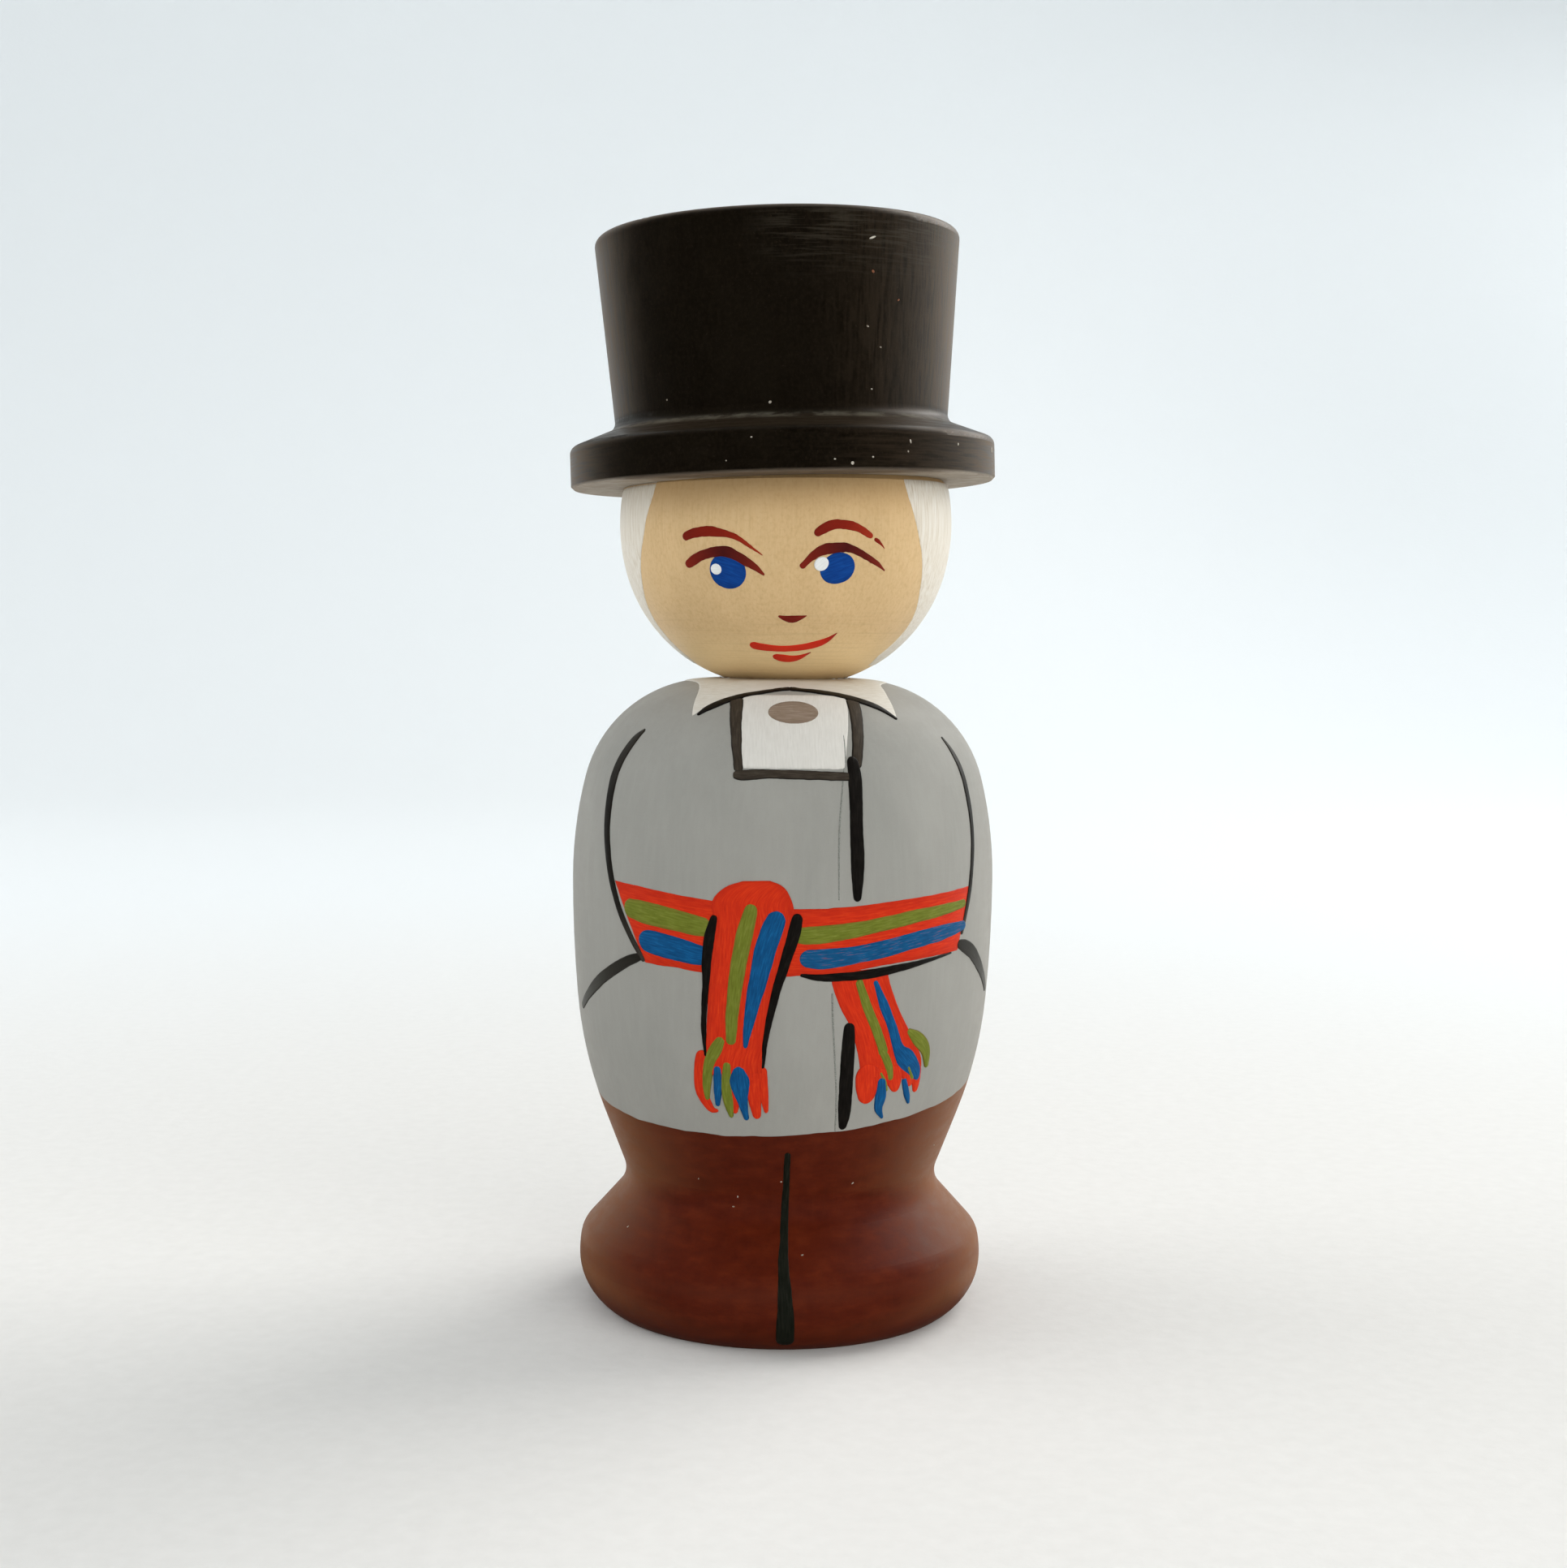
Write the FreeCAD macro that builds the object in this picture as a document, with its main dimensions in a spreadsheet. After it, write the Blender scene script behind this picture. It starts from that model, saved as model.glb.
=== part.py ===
import FreeCAD, Part
import math
import os
import Sketcher

# A lathe-turned wooden figurine in a top hat: a body, a head and a hat, each one turned piece,
# joined by two dowels. +Z is up, the figurine faces -Y, and the origin is the centre of the base.
# Millimetres and degrees. Each turned piece is a half outline revolved about its own axis.

SIZES = {
    # body: foot, waist, coat and shoulders
    "foot_inset": 0.85,  # the foot's widest, inside the coat's widest
    "foot_widest_height": 5.2,
    "foot_side_curve": 12.0,  # radius of the gently bulged side, above the widest
    "foot_shoulder_curve": 2.6,  # where the side turns into the flare
    "heel_curve": 6.2,  # radius below the widest, rolling under to the base
    "base_recess_radius": 13.5,  # the base is turned a little hollow inside its rim
    "base_recess": 0.5,
    "base_centre_radius": 1.6,  # cone left by the lathe's tail centre
    "base_centre_depth": 1.4,
    "waist_depth": 5.9,  # cut in from the coat's widest
    "waist_height": 14.4,
    "waist_cove": 3.2,
    "flare_angle": 42.0,  # from the vertical, waist to foot
    "thigh_angle": 21.0,  # from the vertical, waist to coat
    "thigh_length": 6.2,  # straight stretch between waist cove and hip arc
    "body_radius": 22.95,  # at the coat's widest
    "body_widest_height": 46.8,
    "flank_curve": 150.0,
    "chest_curve": 44.1,
    "collar_slope": 2.0,  # from the horizontal
    "collar_width": 2.0,  # straight stretch between neck and shoulder arc
    "neck_radius": 6.5,
    "neck_rise": 0.15,  # flat boss that the head turns on
    "neck_height": 68.5,  # the joint between body and head
    # head
    "head_radius": 17.9,
    "head_widest_height": 85.0,
    "cheek_curve": 20.1,
    "jaw_height": 79.7,  # where the jaw's arc runs into the cheek's
    "head_seat_radius": 6.8,
    "hat_seat_height": 89.2,  # the joint between head and hat
    "hat_seat_radius": 17.2,  # the head's flat top, inside its chamfer
    "hat_lean": 1.9,  # the flat top is cut a little askew, and the hat stands on it
    "hat_lean_height": 79.0,  # the point on the head's axis that the lean is about
    # hat
    "brim_radius": 22.9,
    "brim_edge_height": 4.3,
    "brim_underside_bevel": 0.3,
    "brim_edge_round": 0.9,
    "crown_base_radius": 17.9,
    "crown_base_height": 6.25,
    "crown_base_cove": 1.2,
    "crown_top_radius": 19.65,
    "crown_edge_round": 0.9,
    "hat_height": 26.5,
    "hat_centre_radius": 1.5,  # cone left by the tail centre
    "hat_centre_depth": 1.2,
    # dowels and their holes
    "neck_dowel_radius": 3.0,
    "neck_dowel_length": 16.0,
    "hat_dowel_radius": 3.0,
    "hat_dowel_length": 12.0,
    "dowel_end_chamfer": 0.6,
    "dowel_flute_radius": 0.35,
    "dowel_flute_count": 12,
    "dowel_fit": 0.06,  # radial clearance of a dowel in its hole
    "dowel_end_space": 0.8,  # room for glue past each end of a dowel
    "drill_point_angle": 59.0,  # half of the point angle of a twist drill
}

doc = FreeCAD.newDocument("turned_figurine")
sheet = doc.addObject("Spreadsheet::Sheet", "sizes")
for row, (alias, value) in enumerate(SIZES.items(), start=1):
    sheet.set(f"A{row}", alias)
    sheet.set(f"B{row}", str(value))
    sheet.setAlias(f"B{row}", alias)
doc.recompute()


def size(alias):
    """The number in the sheet's cell of that name."""
    return float(sheet.get(alias))


def sine(alias):
    return math.sin(math.radians(size(alias)))


def cosine(alias):
    return math.cos(math.radians(size(alias)))


def point(x, y):
    return FreeCAD.Vector(x, y, 0)


def origin_feature(body, role):
    return next(f for f in body.Origin.OriginFeatures if f.Role == role)


def new_body(name):
    body = doc.addObject("PartDesign::Body", name)
    body.Label = name
    return body


class Outline:
    """A sketch whose outline is drawn edge by edge, then held by constraints bound to the sheet."""

    START, END, CENTRE = 1, 2, 3
    ORIGIN = (-1, 1)
    X_AXIS, Y_AXIS = -1, -2

    def __init__(self, body, name, plane="XZ_Plane"):
        self.sketch = body.newObject("Sketcher::SketchObject", name)
        self.sketch.AttachmentSupport = (origin_feature(body, plane), [""])
        self.sketch.MapMode = "FlatFace"
        self.edges = {}
        self.backward = set()

    def line(self, name, a, b):
        self.edges[name] = self.sketch.addGeometry(Part.LineSegment(point(*a), point(*b)), False)

    def arc(self, name, centre, radius, a, b):
        """An arc from a to b, the short way round; an arc edge always runs anticlockwise in a sketch."""
        first = math.atan2(a[1] - centre[1], a[0] - centre[0])
        last = math.atan2(b[1] - centre[1], b[0] - centre[0])
        turn = (last - first + math.pi) % (2 * math.pi) - math.pi
        if turn < 0:
            self.backward.add(name)
            first, last = last, first
        circle = Part.Circle(point(*centre), FreeCAD.Vector(0, 0, 1), radius)
        if last < first:
            last += 2 * math.pi
        self.edges[name] = self.sketch.addGeometry(Part.ArcOfCircle(circle, first, last), False)

    def ends(self, name):
        """The point numbers at which the outline enters and leaves an edge."""
        if name in self.backward:
            return self.END, self.START
        return self.START, self.END

    def join(self, kind, first, second):
        """Coincident or Tangent, where one edge ends and the next begins."""
        self.sketch.addConstraint(
            Sketcher.Constraint(
                kind, self.edges[first], self.ends(first)[1], self.edges[second], self.ends(second)[0]
            )
        )

    def hold(self, kind, *edge_names):
        """A constraint with no size, such as Horizontal or Vertical."""
        for name in edge_names:
            self.sketch.addConstraint(Sketcher.Constraint(kind, self.edges[name]))

    def on_axis(self, name, which, axis):
        self.sketch.addConstraint(
            Sketcher.Constraint("PointOnObject", self.edges[name], self.place(name, which), axis)
        )

    def place(self, name, which):
        if which == "centre":
            return self.CENTRE
        return self.ends(name)[0 if which == "start" else 1]

    def bind(self, constraint, label, formula):
        index = self.sketch.addConstraint(constraint)
        self.sketch.renameConstraint(index, label)
        self.sketch.setExpression("Constraints." + label, formula)

    def across(self, name, which, value, formula):
        """The distance of an edge's point from the turning axis."""
        ref = (self.edges[name], self.place(name, which))
        self.bind(
            Sketcher.Constraint("DistanceX", *self.ORIGIN, *ref, value), f"{name}_{which}_x", formula
        )

    def up(self, name, which, value, formula):
        """The height of an edge's point above the sketch's origin."""
        ref = (self.edges[name], self.place(name, which))
        self.bind(
            Sketcher.Constraint("DistanceY", *self.ORIGIN, *ref, value), f"{name}_{which}_y", formula
        )

    def radius(self, name, alias):
        self.bind(
            Sketcher.Constraint("Radius", self.edges[name], size(alias)), f"{name}_radius", "sizes." + alias
        )

    def length(self, name, alias):
        self.bind(
            Sketcher.Constraint("Distance", self.edges[name], size(alias)),
            f"{name}_length",
            "sizes." + alias,
        )

    def tilt(self, name, value, formula):
        """The angle of a line from the sketch's X axis."""
        self.bind(
            Sketcher.Constraint("Angle", self.edges[name], math.radians(value)), f"{name}_tilt", formula
        )


def meet(line_point, line_direction, circle_centre, circle_radius):
    """The farther along of the two points where a line crosses a circle."""
    px, py = line_point[0] - circle_centre[0], line_point[1] - circle_centre[1]
    dx, dy = line_direction
    along = -(px * dx + py * dy)
    half = math.sqrt(circle_radius**2 - (px * px + py * py - along * along))
    return step(line_point, line_direction, along + half)


def nested_radius(touch, inward, circle_centre, circle_radius):
    """Radius of the arc that starts at touch, its centre inward of it, and runs smoothly into the circle."""
    qx, qy = touch[0] - circle_centre[0], touch[1] - circle_centre[1]
    spare = circle_radius**2 - qx * qx - qy * qy
    return spare / (2 * (qx * inward[0] + qy * inward[1] + circle_radius))


def step(start, direction, distance):
    return (start[0] + direction[0] * distance, start[1] + direction[1] * distance)


def toward(a, b, distance):
    """The point that far from a, on the way to b and past it."""
    gap = math.hypot(b[0] - a[0], b[1] - a[1])
    return step(a, ((b[0] - a[0]) / gap, (b[1] - a[1]) / gap), distance)


def revolve(body, kind, outline, name):
    """A full turn about the sketch's own vertical axis: kind is Revolution or Groove."""
    feature = body.newObject("PartDesign::" + kind, name)
    feature.Profile = outline.sketch
    feature.ReferenceAxis = (outline.sketch, ["V_Axis"])
    feature.Angle = 360
    body.Tip = feature
    return feature


def bore_cutter(outline, mouth, radius, depth, tip, formulas):
    """A drilled hole's half section, from its mouth at height `mouth` down to the drill's point."""
    fit, deep, point_depth, mouth_height = formulas
    outline.line("tip", (0, mouth - depth - tip), (radius, mouth - depth))
    outline.line("wall", (radius, mouth - depth), (radius, mouth))
    outline.across("wall", "start", radius, fit)
    outline.up("wall", "start", mouth - depth, f"{mouth_height} - ({deep})")
    outline.up("tip", "start", mouth - depth - tip, f"{mouth_height} - ({deep}) - ({point_depth})")


def dowel_hole(dowel):
    """Radius, depth and point depth of the hole for half of a dowel, as numbers and as formulas."""
    radius = size(dowel + "_radius") + size("dowel_fit")
    depth = size(dowel + "_length") / 2 + size("dowel_end_space")
    tip = radius / math.tan(math.radians(size("drill_point_angle")))
    fit = f"sizes.{dowel}_radius + sizes.dowel_fit"
    deep = f"sizes.{dowel}_length / 2 + sizes.dowel_end_space"
    return (radius, depth, tip), (fit, deep, f"({fit}) / tan(sizes.drill_point_angle * 1 deg)")


def drill_down(body, name, dowel, mouth, mouth_formula):
    """Drills for half a dowel, downwards from a mouth at that height."""
    (radius, depth, tip), formulas = dowel_hole(dowel)
    cut = Outline(body, name + "_section")
    bore_cutter(cut, mouth, radius, depth, tip, (*formulas, mouth_formula))
    cut.line("lid", (radius, mouth), (0, mouth))
    cut.line("axis", (0, mouth), (0, mouth - depth - tip))
    for first, second in (("tip", "wall"), ("wall", "lid"), ("lid", "axis"), ("axis", "tip")):
        cut.join("Coincident", first, second)
    cut.hold("Vertical", "wall", "axis")
    cut.hold("Horizontal", "lid")
    cut.on_axis("tip", "start", Outline.Y_AXIS)
    cut.up("lid", "start", mouth, mouth_formula)
    return revolve(body, "Groove", cut, name)


def drill_up(body, name, dowel, mouth, mouth_formula):
    """Drills for half a dowel, upwards from a mouth at that height."""
    (radius, depth, tip), (fit, deep, point_depth) = dowel_hole(dowel)
    cut = Outline(body, name + "_section")
    cut.line("mouth", (0, mouth), (radius, mouth))
    cut.line("wall", (radius, mouth), (radius, mouth + depth))
    cut.line("tip", (radius, mouth + depth), (0, mouth + depth + tip))
    cut.line("axis", (0, mouth + depth + tip), (0, mouth))
    for first, second in (("mouth", "wall"), ("wall", "tip"), ("tip", "axis"), ("axis", "mouth")):
        cut.join("Coincident", first, second)
    cut.hold("Horizontal", "mouth")
    cut.hold("Vertical", "wall", "axis")
    cut.on_axis("mouth", "start", Outline.Y_AXIS)
    cut.up("mouth", "start", mouth, mouth_formula)
    cut.across("wall", "start", radius, fit)
    cut.up("wall", "end", mouth + depth, f"{mouth_formula} + {deep}")
    cut.up("tip", "end", mouth + depth + tip, f"{mouth_formula} + {deep} + {point_depth}")
    return revolve(body, "Groove", cut, name)


def centre_mark(body, name, prefix, height, height_formula, points_up):
    """The small cone that a lathe's tail centre leaves in the end of a turned piece."""
    radius, depth = size(prefix + "_centre_radius"), size(prefix + "_centre_depth")
    sign = 1 if points_up else -1
    cut = Outline(body, name + "_section")
    cut.line("mouth", (0, height), (radius, height))
    cut.line("slope", (radius, height), (0, height + sign * depth))
    cut.line("axis", (0, height + sign * depth), (0, height))
    for first, second in (("mouth", "slope"), ("slope", "axis"), ("axis", "mouth")):
        cut.join("Coincident", first, second)
    cut.hold("Horizontal", "mouth")
    cut.hold("Vertical", "axis")
    cut.on_axis("mouth", "start", Outline.Y_AXIS)
    cut.up("mouth", "start", height, height_formula)
    cut.across("mouth", "end", radius, f"sizes.{prefix}_centre_radius")
    formula = f"{height_formula} {'+' if points_up else '-'} sizes.{prefix}_centre_depth"
    cut.up("axis", "start", height + sign * depth, formula)
    return revolve(body, "Groove", cut, name)


def make_body():
    """Foot, waist, coat and shoulders in one outline of tangent arcs, hollowed under the base."""
    body = new_body("body")
    out = Outline(body, "body_outline")
    neck = (size("neck_radius"), size("neck_height"))
    collar_top = (neck[0], neck[1] - size("neck_rise"))
    widest = (size("body_radius"), size("body_widest_height"))
    # collar line, shoulder arc and chest arc
    collar = (cosine("collar_slope"), -sine("collar_slope"))
    inward = (-sine("collar_slope"), -cosine("collar_slope"))
    collar_end = step(collar_top, collar, size("collar_width"))
    chest_r = size("chest_curve")
    chest_c = (widest[0] - chest_r, widest[1])
    shoulder_r = nested_radius(collar_end, inward, chest_c, chest_r)
    shoulder_c = step(collar_end, inward, shoulder_r)
    shoulder_end = toward(chest_c, shoulder_c, chest_r)
    # waist cove, thigh line, hip arc and flank arc
    cove_r = size("waist_cove")
    cove_c = (widest[0] - size("waist_depth") + cove_r, size("waist_height"))
    thigh_normal = (-cosine("thigh_angle"), sine("thigh_angle"))
    thigh_start = step(cove_c, thigh_normal, cove_r)
    thigh_end = step(thigh_start, (sine("thigh_angle"), cosine("thigh_angle")), size("thigh_length"))
    flank_r = size("flank_curve")
    flank_c = (widest[0] - flank_r, widest[1])
    hip_r = nested_radius(thigh_end, thigh_normal, flank_c, flank_r)
    hip_c = step(thigh_end, thigh_normal, hip_r)
    hip_end = toward(flank_c, hip_c, flank_r)
    # flare line, foot shoulder arc and foot side arc
    flare_normal = (-cosine("flare_angle"), -sine("flare_angle"))
    flare_start = step(cove_c, flare_normal, cove_r)
    flare = (sine("flare_angle"), -cosine("flare_angle"))
    bend_r, side_r = size("foot_shoulder_curve"), size("foot_side_curve")
    foot_widest = (widest[0] - size("foot_inset"), size("foot_widest_height"))
    side_c = (foot_widest[0] - side_r, foot_widest[1])
    bend_c = meet(step(flare_start, flare_normal, bend_r), flare, side_c, side_r - bend_r)
    flare_end = step(bend_c, flare_normal, -bend_r)
    bend_end = toward(side_c, bend_c, side_r)
    # heel arc and the hollowed base
    heel_r = size("heel_curve")
    heel_c = (foot_widest[0] - heel_r, foot_widest[1])
    rim_out = (heel_c[0] + math.sqrt(heel_r**2 - heel_c[1] ** 2), 0)
    rim_in = (size("base_recess_radius") + size("base_recess"), 0)
    recess = (size("base_recess_radius"), size("base_recess"))

    out.line("neck_face", (0, neck[1]), neck)
    out.line("neck_side", neck, collar_top)
    out.line("collar", collar_top, collar_end)
    out.arc("shoulder", shoulder_c, shoulder_r, collar_end, shoulder_end)
    out.arc("chest", chest_c, chest_r, shoulder_end, widest)
    out.arc("flank", flank_c, flank_r, widest, hip_end)
    out.arc("hip", hip_c, hip_r, hip_end, thigh_end)
    out.line("thigh", thigh_end, thigh_start)
    out.arc("waist", cove_c, cove_r, thigh_start, flare_start)
    out.line("flare", flare_start, flare_end)
    out.arc("foot_bend", bend_c, bend_r, flare_end, bend_end)
    out.arc("foot_side", side_c, side_r, bend_end, foot_widest)
    out.arc("heel", heel_c, heel_r, foot_widest, rim_out)
    out.line("rim", rim_out, rim_in)
    out.line("rim_step", rim_in, recess)
    out.line("base", recess, (0, recess[1]))
    out.line("axis", (0, recess[1]), (0, neck[1]))

    corners = ["neck_face", "neck_side", "collar"]
    smooth = ["collar", "shoulder", "chest", "flank", "hip", "thigh", "waist"]
    smooth += ["flare", "foot_bend", "foot_side", "heel"]
    for first, second in zip(corners, corners[1:]):
        out.join("Coincident", first, second)
    for first, second in zip(smooth, smooth[1:]):
        out.join("Tangent", first, second)
    loop = ["heel", "rim", "rim_step", "base", "axis", "neck_face"]
    for first, second in zip(loop, loop[1:]):
        out.join("Coincident", first, second)
    out.hold("Horizontal", "neck_face", "base", "rim")
    out.hold("Vertical", "neck_side", "axis")
    out.on_axis("axis", "start", Outline.Y_AXIS)
    out.on_axis("rim", "start", Outline.X_AXIS)

    out.up("neck_face", "start", neck[1], "sizes.neck_height")
    out.across("neck_face", "end", neck[0], "sizes.neck_radius")
    out.up("neck_side", "end", collar_top[1], "sizes.neck_height - sizes.neck_rise")
    out.tilt("collar", -size("collar_slope"), "-sizes.collar_slope * 1 deg")
    out.length("collar", "collar_width")
    out.radius("chest", "chest_curve")
    out.across("chest", "end", widest[0], "sizes.body_radius")
    out.up("chest", "end", widest[1], "sizes.body_widest_height")
    out.up("chest", "centre", widest[1], "sizes.body_widest_height")
    out.radius("flank", "flank_curve")
    out.length("thigh", "thigh_length")
    out.tilt("thigh", -90 - size("thigh_angle"), "(-90 - sizes.thigh_angle) * 1 deg")
    out.radius("waist", "waist_cove")
    out.across("waist", "centre", cove_c[0], "sizes.body_radius - sizes.waist_depth + sizes.waist_cove")
    out.up("waist", "centre", cove_c[1], "sizes.waist_height")
    out.tilt("flare", size("flare_angle") - 90, "(sizes.flare_angle - 90) * 1 deg")
    out.radius("foot_bend", "foot_shoulder_curve")
    out.radius("foot_side", "foot_side_curve")
    side_formula = "sizes.body_radius - sizes.foot_inset - sizes.foot_side_curve"
    out.across("foot_side", "centre", side_c[0], side_formula)
    out.up("foot_side", "centre", side_c[1], "sizes.foot_widest_height")
    out.up("foot_side", "end", foot_widest[1], "sizes.foot_widest_height")
    out.radius("heel", "heel_curve")
    out.across("rim", "end", rim_in[0], "sizes.base_recess_radius + sizes.base_recess")
    out.across("base", "start", recess[0], "sizes.base_recess_radius")
    out.up("base", "start", recess[1], "sizes.base_recess")

    revolve(body, "Revolution", out, "turned_body")
    drill_down(body, "neck_hole", "neck_dowel", neck[1], "sizes.neck_height")
    centre_mark(body, "base_centre", "base", recess[1], "sizes.base_recess", True)
    return body


SEAT_CENTRE_X = "-(sizes.hat_seat_height - sizes.hat_lean_height) * sin(sizes.hat_lean * 1 deg)"
SEAT_CENTRE_Z = (
    "sizes.hat_lean_height + (sizes.hat_seat_height - sizes.hat_lean_height) * cos(sizes.hat_lean * 1 deg)"
)


def seat_centre():
    """Across and height of the middle of the head's flat top, which leans about a point lower down."""
    arm = size("hat_seat_height") - size("hat_lean_height")
    return -arm * sine("hat_lean"), size("hat_lean_height") + arm * cosine("hat_lean")


def make_head():
    """A ball with a flat under it, and a chamfered flat on top that is cut askew for the hat."""
    body = new_body("head")
    out = Outline(body, "head_outline")
    seat = (size("head_seat_radius"), size("neck_height"))
    cheek_r = size("cheek_curve")
    cheek_c = (size("head_radius") - cheek_r, size("head_widest_height"))
    fall = size("jaw_height") - cheek_c[1]
    jaw_end = (cheek_c[0] + math.sqrt(cheek_r**2 - fall**2), size("jaw_height"))
    inward = ((cheek_c[0] - jaw_end[0]) / cheek_r, -fall / cheek_r)
    chord = (seat[0] - jaw_end[0], seat[1] - jaw_end[1])
    jaw_r = (chord[0] ** 2 + chord[1] ** 2) / (2 * (chord[0] * inward[0] + chord[1] * inward[1]))
    jaw_c = step(jaw_end, inward, jaw_r)
    top = size("hat_seat_height") + size("head_radius") * sine("hat_lean")
    cheek_end = (cheek_c[0] + math.sqrt(cheek_r**2 - (top - cheek_c[1]) ** 2), top)

    out.line("seat", (0, seat[1]), seat)
    out.arc("jaw", jaw_c, jaw_r, seat, jaw_end)
    out.arc("cheek", cheek_c, cheek_r, jaw_end, cheek_end)
    out.line("top", cheek_end, (0, top))
    out.line("axis", (0, top), (0, seat[1]))
    out.join("Coincident", "seat", "jaw")
    out.join("Tangent", "jaw", "cheek")
    for first, second in (("cheek", "top"), ("top", "axis"), ("axis", "seat")):
        out.join("Coincident", first, second)
    out.hold("Horizontal", "seat", "top")
    out.hold("Vertical", "axis")
    out.on_axis("axis", "end", Outline.Y_AXIS)
    out.up("seat", "start", seat[1], "sizes.neck_height")
    out.across("seat", "end", seat[0], "sizes.head_seat_radius")
    out.up("jaw", "end", jaw_end[1], "sizes.jaw_height")
    out.radius("cheek", "cheek_curve")
    out.across("cheek", "centre", cheek_c[0], "sizes.head_radius - sizes.cheek_curve")
    out.up("cheek", "centre", cheek_c[1], "sizes.head_widest_height")
    out.up("top", "end", top, "sizes.hat_seat_height + sizes.head_radius * sin(sizes.hat_lean * 1 deg)")
    revolve(body, "Revolution", out, "turned_head")
    drill_up(body, "neck_hole", "neck_dowel", seat[1], "sizes.neck_height")

    # the cutter for the hat's seat, its chamfer and the dowel hole, all square to the leaning seat
    (radius, depth, tip), (fit, deep, point_depth) = dowel_hole("hat_dowel")
    cut = Outline(body, "hat_seat_section")
    lean = FreeCAD.Rotation(FreeCAD.Vector(0, 0, 1), size("hat_lean"))
    cut.sketch.AttachmentOffset = FreeCAD.Placement(point(*seat_centre()), lean)
    cut.sketch.setExpression("AttachmentOffset.Base.x", SEAT_CENTRE_X)
    cut.sketch.setExpression("AttachmentOffset.Base.y", SEAT_CENTRE_Z)
    cut.sketch.setExpression("AttachmentOffset.Rotation.Angle", "sizes.hat_lean")
    edge, reach = size("hat_seat_radius"), size("head_radius")
    cut.line("tip", (0, -depth - tip), (radius, -depth))
    cut.line("wall", (radius, -depth), (radius, 0))
    cut.line("seat", (radius, 0), (edge, 0))
    cut.line("chamfer", (edge, 0), (edge + reach, -reach))
    cut.line("outside", (edge + reach, -reach), (edge + reach, reach))
    cut.line("lid", (edge + reach, reach), (0, reach))
    cut.line("axis", (0, reach), (0, -depth - tip))
    loop = ["tip", "wall", "seat", "chamfer", "outside", "lid", "axis", "tip"]
    for first, second in zip(loop, loop[1:]):
        cut.join("Coincident", first, second)
    cut.hold("Vertical", "wall", "outside", "axis")
    cut.hold("Horizontal", "seat", "lid")
    cut.on_axis("axis", "end", Outline.Y_AXIS)
    cut.on_axis("seat", "start", Outline.X_AXIS)
    cut.up("tip", "start", -depth - tip, f"-({deep}) - ({point_depth})")
    cut.up("wall", "start", -depth, f"-({deep})")
    cut.across("wall", "start", radius, fit)
    cut.across("seat", "end", edge, "sizes.hat_seat_radius")
    cut.across("outside", "start", edge + reach, "sizes.hat_seat_radius + sizes.head_radius")
    cut.up("outside", "start", -reach, "-sizes.head_radius")
    cut.up("outside", "end", reach, "sizes.head_radius")
    revolve(body, "Groove", cut, "hat_seat")
    return body


def lean_on_seat(obj):
    """Stands an object, made upright at its own origin, on the head's leaning flat top."""
    lean = FreeCAD.Rotation(FreeCAD.Vector(0, -1, 0), size("hat_lean"))
    across, up = seat_centre()
    obj.Placement = FreeCAD.Placement(FreeCAD.Vector(across, 0, up), lean)
    obj.setExpression("Placement.Base.x", SEAT_CENTRE_X)
    obj.setExpression("Placement.Base.z", SEAT_CENTRE_Z)
    obj.setExpression("Placement.Rotation.Angle", "sizes.hat_lean")


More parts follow.
